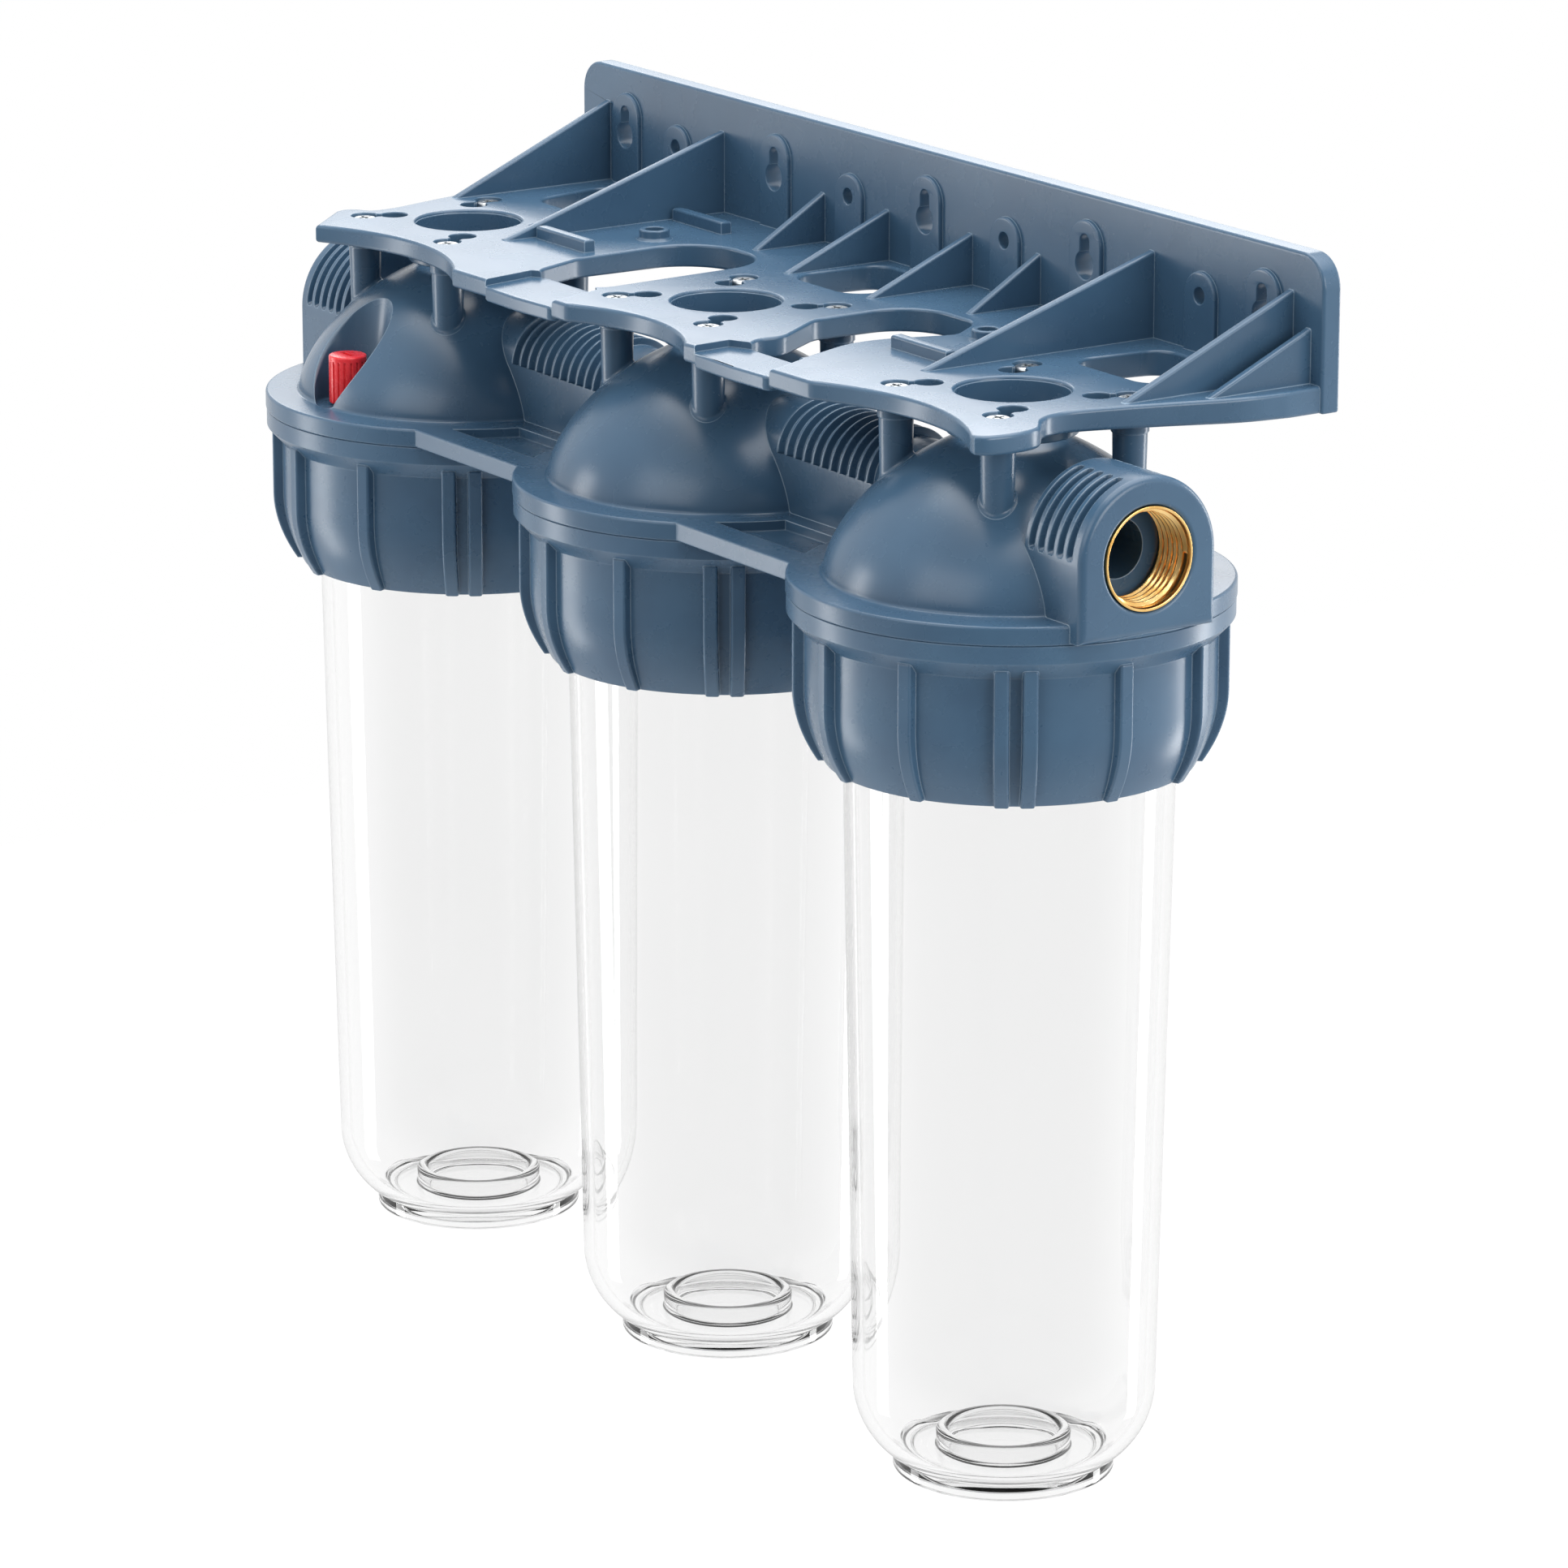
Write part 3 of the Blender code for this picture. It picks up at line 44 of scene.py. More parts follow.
# Places that several pieces share
row = {
    "pitch": 135.0,
    "axisY": -74.2,
    "passageZ": -33.6,
    "domeRadius": 50.0,
    "domeTop": -9.2,
    "domePower": 1.6,
    "flangeRadius": 59.75,
    "flangeTop": -49.2,
    "flangeBottom": -54.4,
    "ventReach": 41.5,
}
heads = [(-row["pitch"], row["axisY"]), (0.0, row["axisY"]), (row["pitch"], row["axisY"])]
ventPlace = (heads[0][0], heads[0][1] - row["ventReach"])


# Colours and nodes

# noise mostly spans this, and is widened from it to the whole of what it drives
noiseSpan = {"From Min": 0.3, "From Max": 0.7}
# height of moulded grain and of tool marks
grainHeight = 0.02
# the painted edge highlight is full where the bevelled normal's cosine to the flat one is this
fullHighlight = 0.86
# moulded plastics refract about this much
plasticIor = 1.49


def srgb(hexColour):
    # an sRGB hex colour as linear red, green, blue and alpha
    parts = np.array([int(hexColour[i:i + 2], 16) / 255 for i in (1, 3, 5)])
    linear = np.where(parts <= 0.04045, parts / 12.92, ((parts + 0.055) / 1.055) ** 2.4)
    return tuple(float(part) for part in linear) + (1.0,)


def addNode(tree, kind, settings=None, links=None):
    # settings go to the node's properties or sockets, and links join other nodes' sockets to its own
    node = tree.nodes.new(kind)
    for name, value in (settings or {}).items():
        if isinstance(name, str) and hasattr(node, name):
            setattr(node, name, value)
        else:
            node.inputs[name].default_value = value
    for name, socket in (links or {}).items():
        tree.links.new(socket, node.inputs[name])
    return node


def newMaterial(name):
    # an empty node tree, and the coordinates that it reads
    material = bpy.data.materials.new(name)
    material.use_nodes = True
    tree = material.node_tree
    tree.nodes.clear()
    return material, tree, addNode(tree, "ShaderNodeTexCoord").outputs["Object"]


def drift(tree, place, look, noises, tintSpan=noiseSpan):
    # noise for each size in mm that noises names, with its detail and fading: the first moves the colour
    # from dark to light, the second moves the roughness from low to high, and the last is handed back
    blotches = [addNode(tree, "ShaderNodeTexNoise",
                        {"Scale": 1000 / look[size], "Detail": detail, "Roughness": fading},
                        {"Vector": place}).outputs["Fac"] for size, detail, fading in noises]
    tone = addNode(tree, "ShaderNodeMapRange", tintSpan, {"Value": blotches[0]})
    colours = {"data_type": "RGBA", 6: srgb(look["dark"]), 7: srgb(look["light"])}
    tint = addNode(tree, "ShaderNodeMix", colours, {0: tone.outputs["Result"]})
    low, high = look["rough"]
    rough = addNode(tree, "ShaderNodeMapRange", {**noiseSpan, "To Min": low, "To Max": high},
                    {"Value": blotches[1]})
    return tint.outputs[2], rough.outputs["Result"], blotches[-1]


def plasticMaterial(name, look):
    # the colour drifts in clouds and carries a painted highlight along edges and creases, and the gloss
    # drifts in patches. Real grain is too fine to show at this size, so it is drawn coarser.
    material, tree, place = newMaterial(name)
    noises = ("cloud", 3.0, 0.5), ("patch", 4.0, 0.6), ("grain", 2.0, 0.5)
    body, rough, grain = drift(tree, place, look, noises)
    # how far the normal of a rounded edge would turn draws a painted highlight line along each edge and
    # crease
    rim = addNode(tree, "ShaderNodeBevel", {"samples": 8, "Radius": look["edge"] / 1000})
    if "lip" in look:
        # wider within reach of one place, which also widens the painted highlight there
        lip = look["lip"]
        away = addNode(tree, "ShaderNodeVectorMath",
                       {"operation": "DISTANCE", 1: [mm / 1000 for mm in lip["place"]]}, {0: place})
        wide = addNode(tree, "ShaderNodeMapRange",
                       {"From Min": lip["full"] / 1000, "From Max": lip["none"] / 1000,
                        "To Min": lip["radius"] / 1000, "To Max": look["edge"] / 1000},
                       {"Value": away.outputs["Value"]})
        tree.links.new(wide.outputs["Result"], rim.inputs["Radius"])
    flat = addNode(tree, "ShaderNodeNewGeometry").outputs["Normal"]
    facing = addNode(tree, "ShaderNodeVectorMath", {"operation": "DOT_PRODUCT"},
                     {0: rim.outputs["Normal"], 1: flat})
    # painted highlight: a pale colour mixed in where the bevelled normal turns away from the flat one
    paintedHighlight = addNode(tree, "ShaderNodeMapRange",
                   {"From Min": 1.0, "From Max": fullHighlight, "To Max": look["highlightAmount"]},
                   {"Value": facing.outputs["Value"]})
    colour = addNode(tree, "ShaderNodeMix", {"data_type": "RGBA", 7: srgb(look["highlightColour"])},
                     {0: paintedHighlight.outputs["Result"], 6: body})
    bump = addNode(tree, "ShaderNodeBump", {"Strength": look["bump"], "Distance": grainHeight / 1000},
                   {"Height": grain})
    if "lip" in look:
        tree.links.new(rim.outputs["Normal"], bump.inputs["Normal"])
    shader = addNode(tree, "ShaderNodeBsdfPrincipled",
                     {"IOR": plasticIor, "Specular IOR Level": look["specular"]},
                     {"Base Color": colour.outputs[2], "Roughness": rough, "Normal": bump.outputs["Normal"]})
    addNode(tree, "ShaderNodeOutputMaterial", {}, {"Surface": shader.outputs["BSDF"]})
    return material


def clearMaterial(name, look):
    # a slow ripple left by the mould bends what is seen through the wall, and its shadow stays pale
    material, tree, place = newMaterial(name)
    noises = ("cloud", 2.0, 0.5), ("patch", 3.0, 0.5), ("ripple", 1.0, 0.5)
    tint, rough, ripple = drift(tree, place, look, noises, {})
    bump = addNode(tree, "ShaderNodeBump",
                   {"Strength": look["bump"], "Distance": look["rippleHeight"] / 1000}, {"Height": ripple})
    shader = addNode(tree, "ShaderNodeBsdfPrincipled", {"IOR": look["ior"], "Transmission Weight": 1.0},
                     {"Base Color": tint, "Roughness": rough, "Normal": bump.outputs["Normal"]})
    clear = addNode(tree, "ShaderNodeBsdfTransparent", {"Color": srgb(look["shadow"])})
    path = addNode(tree, "ShaderNodeLightPath")
    mixed = addNode(tree, "ShaderNodeMixShader", {},
                    {0: path.outputs["Is Shadow Ray"], 1: shader.outputs["BSDF"], 2: clear.outputs["BSDF"]})
    addNode(tree, "ShaderNodeOutputMaterial", {}, {"Surface": mixed.outputs["Shader"]})
    return material


def metalMaterial(name, look):
    # the colour and the gloss drift, and tool marks are noise drawn out round the part, coarser than real
    material, tree, place = newMaterial(name)
    colour, rough, _ = drift(tree, place, look, (("cloud", 4.0, 0.5), ("patch", 4.0, 0.5)))
    drawnOut = addNode(tree, "ShaderNodeMapping", {"Scale": look["stretch"]}, {"Vector": place})
    marks = addNode(tree, "ShaderNodeTexNoise", {"Scale": 1000 / look["grain"]},
                    {"Vector": drawnOut.outputs["Vector"]})
    rim = addNode(tree, "ShaderNodeBevel", {"samples": 4, "Radius": look["edge"] / 1000})
    bump = addNode(tree, "ShaderNodeBump", {"Strength": look["bump"], "Distance": grainHeight / 1000},
                   {"Height": marks.outputs["Fac"], "Normal": rim.outputs["Normal"]})
    shader = addNode(tree, "ShaderNodeBsdfPrincipled", {"Metallic": 1.0},
                     {"Base Color": colour, "Roughness": rough, "Normal": bump.outputs["Normal"]})
    addNode(tree, "ShaderNodeOutputMaterial", {}, {"Surface": shader.outputs["BSDF"]})
    return material


# Blue moulded plastic with a sheen: clouded colour, uneven gloss, fine grain and a painted highlight on its
# edges
blueLook = {
    "dark": "#3a566f", "light": "#425f78", "highlightColour": "#9fb4c6", "highlightAmount": 0.65, "edge": 0.5,
    "cloud": 30.0, "patch": 14.0, "rough": (0.25, 0.29), "grain": 1.1, "bump": 0.04, "specular": 0.5,
}
bluePlastic = plasticMaterial("polypropylene, moulded, satin", blueLook)
# The head's plastic is the same, with a wide soft lip at the vent's niche, where the painted edge highlight
# is wider too
headPlastic = plasticMaterial("polypropylene, moulded, satin, wide lip", {
    **blueLook, "lip": {"place": (-141.2, -124.8, -28.0), "full": 14.0, "none": 18.0, "radius": 2.4},
})
# The nuts' plastic is a little paler, with finer grain and a stronger painted highlight on its edges
nutPlastic = plasticMaterial("polypropylene, moulded, fine grained", {
    "dark": "#3d5871", "light": "#45627b", "highlightColour": "#9fb4c7", "highlightAmount": 0.75, "edge": 0.55,
    "cloud": 22.0, "patch": 10.0, "rough": (0.26, 0.3), "grain": 0.9, "bump": 0.05, "specular": 0.5,
})
# Glossy red plastic of the vent screw, with a painted highlight on its edges
redPlastic = plasticMaterial("acetal, moulded, glossy", {
    "dark": "#e02832", "light": "#ec3a42", "highlightColour": "#f58480", "highlightAmount": 0.4, "edge": 0.25,
    "cloud": 4.0, "patch": 1.5, "rough": (0.24, 0.3), "grain": 0.5, "bump": 0.05, "specular": 0.5,
})
# Dull black seals, with a faint painted highlight on their edges
rubber = plasticMaterial("nitrile rubber, moulded, dull", {
    "dark": "#141416", "light": "#1d1d20", "highlightColour": "#2c2c30", "highlightAmount": 0.3, "edge": 0.2,
    "cloud": 6.0, "patch": 2.0, "rough": (0.54, 0.7), "grain": 0.3, "bump": 0.3, "specular": 0.4,
})
# Clear bowls: almost no tint, a slight ripple and polished faces
clearPlastic = clearMaterial("styrene acrylonitrile, moulded, clear", {
    "dark": "#fcfcfc", "light": "#ffffff", "shadow": "#f0f0f0", "ior": 1.5,
    "cloud": 102.0, "patch": 12.0, "rough": (0.008, 0.024), "ripple": 34.0, "rippleHeight": 0.2, "bump": 0.05,
})
# Yellow brass, turned and polished, with fine marks round the thread
brass = metalMaterial("brass, turned, polished", {
    "dark": "#efb866", "light": "#ffdb98", "cloud": 5.0, "patch": 1.5, "rough": (0.19, 0.24),
    "grain": 0.4, "stretch": (6.0, 1.0, 1.0), "bump": 0.12, "edge": 0.12,
})
# Bracket screws: zinc plate, a little uneven
zinc = metalMaterial("steel, zinc plated, bright", {
    "dark": "#a9adb0", "light": "#cfd3d5", "cloud": 2.0, "patch": 1.0, "rough": (0.25, 0.37),
    "grain": 0.25, "stretch": (1.0, 1.0, 3.0), "bump": 0.3, "edge": 0.12,
})
print("materials made")


# Shapes are pairs of points and a list of face tables. Every shape is closed.

# the edge of cutters and of faces that stay hidden, and the overlap of parts that are joined
tiny = 0.02
# cutters reach this far past the faces that they open
cutPast = 2.0
# edges that turn by more degrees than this stay sharp
sharpFrom = 33
# a mitre's divisor is at least this, so that the inset at a sharp corner stays short
leastDivisor = 0.4
# in metres: points of a fresh shape closer than this are one, and a shorter edge than the next has no length
samePoint = 1e-7
noLength = 1e-8
# in metres: unions and cuts leave slivers narrower than this
sliver = 1.5e-5


def quads(index):
    # four-sided faces between neighbours in a table of point numbers
    return np.stack([index[:-1, :-1], index[:-1, 1:], index[1:, 1:], index[1:, :-1]], -1).reshape(-1, 4)


def grid(surface, loop=False):
    # rows by columns of points, the last column joined to the first. A loop joins the last row to the first,
    # and without it there is a flat cap at each end.
    rows, columns = surface.shape[:2]
    index = np.arange(rows * columns).reshape(rows, columns)
    index = np.hstack([index, index[:, :1]])
    if loop:
        index = np.vstack([index, index[:1]])
    points, tables = surface.reshape(-1, 3), [quads(index)]
    if not loop:
        for end, order in ((0, 1), (rows - 1, -1)):
            middle = np.full(columns, len(points))
            points = np.vstack([points, surface[end].mean(0)])
            tables.append(np.stack([index[end, 1:], index[end, :-1], middle], -1)[:, ::order])
    return points, tables


def revolved(radius, height, place, loop=False):
    # rows of radii, one for each angle, at their heights: x and y are the angle's cosine and sine times the
    # radius, past the place of the upright axis
    angle = np.arange(radius.shape[1]) * tau / radius.shape[1]
    x, y = place[0] + radius * np.cos(angle), place[1] + radius * np.sin(angle)
    return grid(np.stack([x, y, np.broadcast_to(height, radius.shape)], -1), loop=loop)


def turn(profile, columns=128, place=(0.0, 0.0), loop=False):
    # a profile of radius and height carried round an upright axis
    profile = np.asarray(profile, float)
    return revolved(np.tile(profile[:, :1], columns), profile[:, 1:], place, loop)


def layAlongX(shape, side, start):
    # an upright shape about the origin laid along X: its height runs outwards from start on the side given
    points, tables = shape
    placed = np.stack([side * (start + points[:, 2]), row["axisY"] + points[:, 1],
                       row["passageZ"] + points[:, 0]], -1)
    return placed, tables


def rounded(corners, steps=5, closed=True):
    # corners of x, y and radius as a line with rounded corners: each arc's middle lies on the line that
    # halves the corner, at the radius over the sine of half the angle, and its ends at the radius over the
    # tangent
    line, count = [], len(corners)
    for i, (x, y, radius) in enumerate(corners):
        here = np.array([x, y], float)
        if radius <= 0 or (not closed and i in (0, count - 1)):
            line.append(here[None])
            continue
        back = np.array(corners[i - 1][:2], float) - here
        ahead = np.array(corners[(i + 1) % count][:2], float) - here
        back, ahead = back / np.linalg.norm(back), ahead / np.linalg.norm(ahead)
        half = np.arccos(np.clip(back @ ahead, -1, 1)) / 2
        middle = here + (back + ahead) / np.linalg.norm(back + ahead) * radius / np.sin(half)
        first = here + back * radius / np.tan(half) - middle
        last = here + ahead * radius / np.tan(half) - middle
        start = np.arctan2(first[1], first[0])
        sweep = (np.arctan2(last[1], last[0]) - start + np.pi) % tau - np.pi
        angle = start + sweep * np.linspace(0, 1, steps + 1)
        line.append(middle + radius * np.stack([np.cos(angle), np.sin(angle)], -1))
    return np.vstack(line)


def arc(centre, radius, first=0.0, last=tau, steps=48):
    # points on a circle from one angle to another, without the last where the circle is whole
    whole = last - first >= tau - 1e-9
    angle = np.linspace(first, last, steps + 1)[:steps if whole else None]
    return np.asarray(centre) + radius * np.stack([np.cos(angle), np.sin(angle)], -1)


def arcThrough(start, middle, end, steps):
    # the arc from start to end through middle, about the centre that is as far from all three
    (ax, ay), (bx, by), (cx, cy) = start, middle, end
    double = 2 * (ax * (by - cy) + bx * (cy - ay) + cx * (ay - by))
    a2, b2, c2 = ax * ax + ay * ay, bx * bx + by * by, cx * cx + cy * cy
    ox = (a2 * (by - cy) + b2 * (cy - ay) + c2 * (ay - by)) / double
    oy = (a2 * (cx - bx) + b2 * (ax - cx) + c2 * (bx - ax)) / double
    first = np.arctan2(ay - oy, ax - ox)
    sweep = (np.arctan2(cy - oy, cx - ox) - first) % tau
    through = (np.arctan2(by - oy, bx - ox) - first) % tau
    sweep -= tau if through > sweep else 0
    angle = first + sweep * np.linspace(0, 1, steps + 1)
    return np.array([ox, oy]) + np.hypot(ax - ox, ay - oy) * np.stack([np.cos(angle), np.sin(angle)], -1)


def isLeftHanded(loop):
    # a loop runs to the left when the cross products of neighbouring points add up to more than nothing
    ahead = np.roll(loop, -1, 0)
    return (loop[:, 0] * ahead[:, 1] - ahead[:, 0] * loop[:, 1]).sum() > 0


def outwards(loop):
    # normals that point out of the material, to the right of each edge. At a corner both are added and
    # divided by 1 and their dot product, which keeps the inset even.
    ahead = np.roll(loop, -1, 0) - loop
    ahead /= np.linalg.norm(ahead, axis=1, keepdims=True)
    normal = np.stack([ahead[:, 1], -ahead[:, 0]], -1)
    before = np.roll(normal, 1, 0)
    share = np.maximum(1 + (normal * before).sum(1, keepdims=True), leastDivisor)
    return (normal + before) / share


def plate(loops, low, high, steps=4):
    # loops of (outline, edge radius), the outside first, thickened from low to high, with rounded edges:
    # each wall is the outline carried round a quarter circle at both faces. low may be a function of the
    # points.
    rings, points, tables, total = [[], []], [], [], 0
    for number, (loop, edge) in enumerate(loops):
        loop = np.asarray(loop, float)
        if isLeftHanded(loop) != (number == 0):
            loop = loop[::-1]
        normal = outwards(loop)
        bottom = low(loop) if callable(low) else np.full(len(loop), float(low))
        angle = np.linspace(0, np.pi / 2, steps + 1)[:, None]
        inset, rise = edge * (1 - np.sin(angle)), edge * (1 - np.cos(angle))
        lower = np.dstack([loop[None] - inset[..., None] * normal[None], bottom[None] + rise])
        upper = np.dstack([loop[None] - inset[::-1, :, None] * normal[None],
                           np.full((steps + 1, len(loop)), float(high)) - rise[::-1]])
        wall = np.concatenate([lower, upper])
        rows, columns = wall.shape[:2]
        index = np.arange(rows * columns).reshape(rows, columns)
        index = np.hstack([index, index[:, :1]]) + total
        tables.append(quads(index))
        rings[0].append(index[0, :-1])
        rings[1].append(index[-1, :-1])
        points.append(wall.reshape(-1, 3))
        total += rows * columns
    points = np.vstack(points)
    for ring, order in zip(rings, (-1, 1)):
        outline = [[Vector((x, y, 0)) for x, y in points[part, :2]] for part in ring]
        filled = np.array(tessellate_polygon(outline))
        tables.append(np.concatenate(ring)[filled][:, ::order])
    return points, tables


def swapped(shape, order):
    # a shape with its axes taken in another order
    return shape[0][:, order], shape[1]


def moved(shape, x, y):
    # a shape shifted along X and Y
    return shape[0] + np.array([x, y, 0.0]), shape[1]


def spun(shape, angle):
    # a shape turned round the upright axis through the origin
    c, s = np.cos(angle), np.sin(angle)
    return shape[0] @ np.array([[c, s, 0], [-s, c, 0], [0, 0, 1]]), shape[1]


def tidied(mesh, merge, collapse, turnOut=False):
    # points closer than merge become one, and edges shorter than collapse go
    shape = bmesh.new()
    shape.from_mesh(mesh)
    bmesh.ops.remove_doubles(shape, verts=shape.verts, dist=merge)
    bmesh.ops.dissolve_degenerate(shape, edges=shape.edges, dist=collapse)
    if turnOut:
        bmesh.ops.recalc_face_normals(shape, faces=shape.faces)
    shape.to_mesh(mesh)
    shape.free()
    return mesh


def meshOf(name, shapes):
    # all shapes in one mesh, from mm to metres
    points, tables, total = [], [], 0
    for shapePoints, shapeTables in shapes:
        points.append(shapePoints)
        tables += [table + total for table in shapeTables if len(table)]
        total += len(shapePoints)
    points = np.vstack(points) / 1000
    mesh = bpy.data.meshes.new(name)
    sizes = np.concatenate([np.full(len(table), table.shape[1]) for table in tables])
    mesh.vertices.add(len(points))
    mesh.vertices.foreach_set("co", points.astype(np.float32).ravel())
    corners = np.concatenate([table.ravel() for table in tables]).astype(np.int32)
    mesh.loops.add(len(corners))
    mesh.loops.foreach_set("vertex_index", corners)
    mesh.polygons.add(len(sizes))
    mesh.polygons.foreach_set("loop_start", np.concatenate([[0], np.cumsum(sizes)[:-1]]).astype(np.int32))
    mesh.update(calc_edges=True)
    return tidied(mesh, samePoint, noLength, turnOut=True)


def solid(name, shapes):
    # an object of its own, made of shapes that don't touch
    obj = bpy.data.objects.new(name, meshOf(name, shapes))
    bpy.context.scene.collection.objects.link(obj)
    return obj


def join(name, shapes):
    # a step for combined that adds shapes
    return "UNION", solid(name, shapes)


def cut(name, shapes):
    # a step for combined that takes shapes away
    return "DIFFERENCE", solid(name, shapes)


def combined(base, steps):
    # unions and cuts in turn, then the result as one plain mesh
    for operation, other in steps:
        modifier = base.modifiers.new(other.name, "BOOLEAN")
        modifier.operation, modifier.solver, modifier.object = operation, "MANIFOLD", other
    bpy.context.view_layer.update()
    mesh = bpy.data.meshes.new_from_object(base.evaluated_get(bpy.context.evaluated_depsgraph_get()))
    base.modifiers.clear()
    # slivers where two shells meet would catch the light
    base.data = tidied(mesh, sliver, sliver)
    for _, other in steps:
        bpy.data.objects.remove(other)
    return base


def finishPiece(obj, material, body, nodes):
    # one material and smooth shading up to sharp edges, then its body and the nodes that it stands for
    mesh = obj.data
    mesh.materials.clear()
    mesh.materials.append(material)
    mesh.polygons.foreach_set("material_index", np.zeros(len(mesh.polygons), np.int32))
    mesh.shade_smooth()
    mesh.set_sharp_from_angle(angle=np.radians(sharpFrom))
    weighted = obj.modifiers.new("Even shading", "WEIGHTED_NORMAL")
    weighted.keep_sharp = True
    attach(obj, body)
    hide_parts(*nodes)
    print("piece", obj.name, "faces", len(mesh.polygons))


# Bracket: a pierced shelf on a wall plate with gussets

bracket = {
    "sink": 1.5,  # how far parts reach into the shelf or the wall plate that they stand on
    "plateHalf": 179.0, "plateTop": 34.5, "plateThick": 5.95, "plateCorner": 9.0, "overhang": 44.0,
    "shelfFront": 40.3, "thickFront": 5.2, "thickWall": 7.5,
    "shelfEdge": 1.1, "windowEdge": 0.9, "plateEdge": 0.9,
    "cup": 15.3, "cupGap": 0.15, "cupEdge": 0.9, "collarWall": 2.4, "collarBottom": -11.2,
    "stripDrop": 2.0, "stripThick": 4.1, "stripEdge": 0.9, "recessTop": 3.0,
    "padProud": 1.35, "padSink": 0.8, "padEdge": 0.55, "padHoleEdge": 0.35, "padHoleShare": 0.995,
    "keyPads": (-1.436, -0.559, 0, 0.559, 1.436), "keyPadHalf": 7.15, "keyPadTop": 27.5,
    "keyHole": 4.0, "keyHoleZ": 15.0, "keyNeck": 2.1, "keyNeckTop": 23.6,
    "roundPads": (-0.941, -0.281, 0.281, 0.941), "roundPadHalf": 6.75, "roundPadTop": 22.0,
    "roundHole": 2.3, "roundHoleZ": 15.5, "holeEdge": 0.3,
    "gussetThick": 2.6, "gussetEdge": 0.7,
    "gussets": ((0.15, 0.42, 0.446), (0.388, 0.412, 0.597), (0.772, 0.693, -0.201), (1.684, 0.69, 0.175),
                (1.857, 0.429, 0.469)),
    "barHeight": 3.6, "barWidth": 3.5, "barEdge": 0.8, "barEnds": (0.563, 0.751), "barRows": (0.054, 0.685),
    "boss": (0.607, 0.404), "bossRadius": 4.4, "bossHole": 2.7, "bossHeight": 3.0, "bossGap": 0.1,
    "bossEdge": 0.2,
    "slotInner": (0.378, 0.275), "slotOuter": (0.458, 0.426), "slotRadius": 3.95, "slotNeck": 1.9,
    "slotEdge": 0.4, "slotLap": 0.2, "slotFloor": -4.2, "slotSink": 0.25, "screwHole": 2.2,
}
# Places on the shelf are pairs of shares. Along the row, 1 is the outer heads' axis and 2 the shelf's end;
# across it, -1 is the front edge, 0 the heads' axis and 1 the wall. A third number is a corner's rounding,
# in pitches for the windows and in mm for the strips.
scallops = (
    ((-1.42, -1.007), (-0.867, -0.739), (-0.576, -1.015)),
    ((-0.156, -0.993), (0.037, -0.777), (0.296, -1.007)),
    ((0.719, -0.978), (0.948, -0.737), (1.843, -1.002)),
)
inletEnd = ((-1.755, -0.62), (-1.775, -0.533), (-1.732, -0.447), (-1.652, -0.382), (-1.648, -0.199),
            (-1.723, 0.071), (-1.818, 0.296), (-1.961, 0.574), (-2, 0.782))
outletEnd = ((1.895, -1.012), (1.95, -0.921), (1.968, -0.71), (1.916, -0.519), (1.75, -0.357),
             (1.686, -0.199), (1.693, 0.015), (1.818, 0.296), (1.961, 0.574), (2, 0.782))
windows = (
    ((-0.247, -0.541, 0.044), (-0.267, 0.55, 0.119), (-0.541, 0.55, 0.119), (-0.526, -0.074, 0.104),
     (-0.47, -0.541, 0.044)),
    ((0.341, -0.655, 0.052), (0.544, -0.655, 0.022), (0.464, 0, 0.222), (0.53, 0.364, 0.037),
     (0.459, 0.544, 0.074), (0.248, 0.544, 0.104), (0.256, 0.081, 0.074), (0.352, -0.323, 0.059)),
    ((-0.133, 0.438, 0.059), (0.111, 0.438, 0.059), (0.096, 0.856, 0.044), (-0.119, 0.856, 0.044)),
    ((0.852, 0.438, 0.052), (1.341, 0.438, 0.052), (1.477, 0.836, 0.044), (0.874, 0.836, 0.044)),
    ((-0.852, 0.438, 0.052), (-0.874, 0.836, 0.044), (-1.477, 0.836, 0.044), (-1.341, 0.438, 0.052)),
)
strips = (
    ((-0.452, -1.022, 2.5), (-0.319, -1.037, 0), (-0.188, -1.007, 2.5), (-0.236, -0.546, 0.8),
     (-0.27, -0.491, 0.8), (-0.444, -0.491, 0.8), (-0.478, -0.571, 0.8)),
    ((0.324, -1.007, 2.5), (0.474, -1.027, 0), (0.604, -1.007, 2.5), (0.547, -0.61, 0.8),
     (0.37, -0.61, 0.8), (0.319, -0.695, 0.8)),
)


def alongRow(share):
    # pitches up to the outer heads, and shares of the overhang past them
    beyond = max(0.0, abs(share) - 1)
    return np.sign(share) * ((abs(share) - beyond) * row["pitch"] + beyond * bracket["overhang"])


def acrossShelf(share):
    # the share of the way from the heads' axis to the wall, or to the front edge
    return share * (-row["axisY"] if share > 0 else bracket["shelfFront"]) + row["axisY"]


def onShelf(share):
    # x and y of a pair of shares
    return alongRow(share[0]), acrossShelf(share[1])


def roundHeads(shares):
    # four places round each head's axis, at these shares of the dome's radius
    radius = row["domeRadius"]
    return [(x + a * shares[0] * radius, y + b * shares[1] * radius)
            for x, y in heads for a in (-1, 1) for b in (-1, 1)]


def underside(points):
    # the shelf's lower face: its thickness grows evenly from the front edge to the wall
    share = 1 + points[:, 1] / (-row["axisY"] + bracket["shelfFront"])
    return -bracket["thickFront"] - (bracket["thickWall"] - bracket["thickFront"]) * share


def smoothed(corners, steps=6):
    # a curve through the corners: each span is a cubic whose end slopes follow the neighbouring corners
    p = np.vstack([2 * np.array(corners[0]) - corners[1], corners, 2 * np.array(corners[-1]) - corners[-2]])
    t = np.arange(steps)[:, None] / steps
    spans = [0.5 * (2 * b + (c - a) * t + (2 * a - 5 * b + 4 * c - d) * t ** 2
                    + (3 * b - a - 3 * c + d) * t ** 3)
             for a, b, c, d in zip(p[:-3], p[1:-2], p[2:-1], p[3:])]
    return np.vstack(spans + [p[-2:-1]])


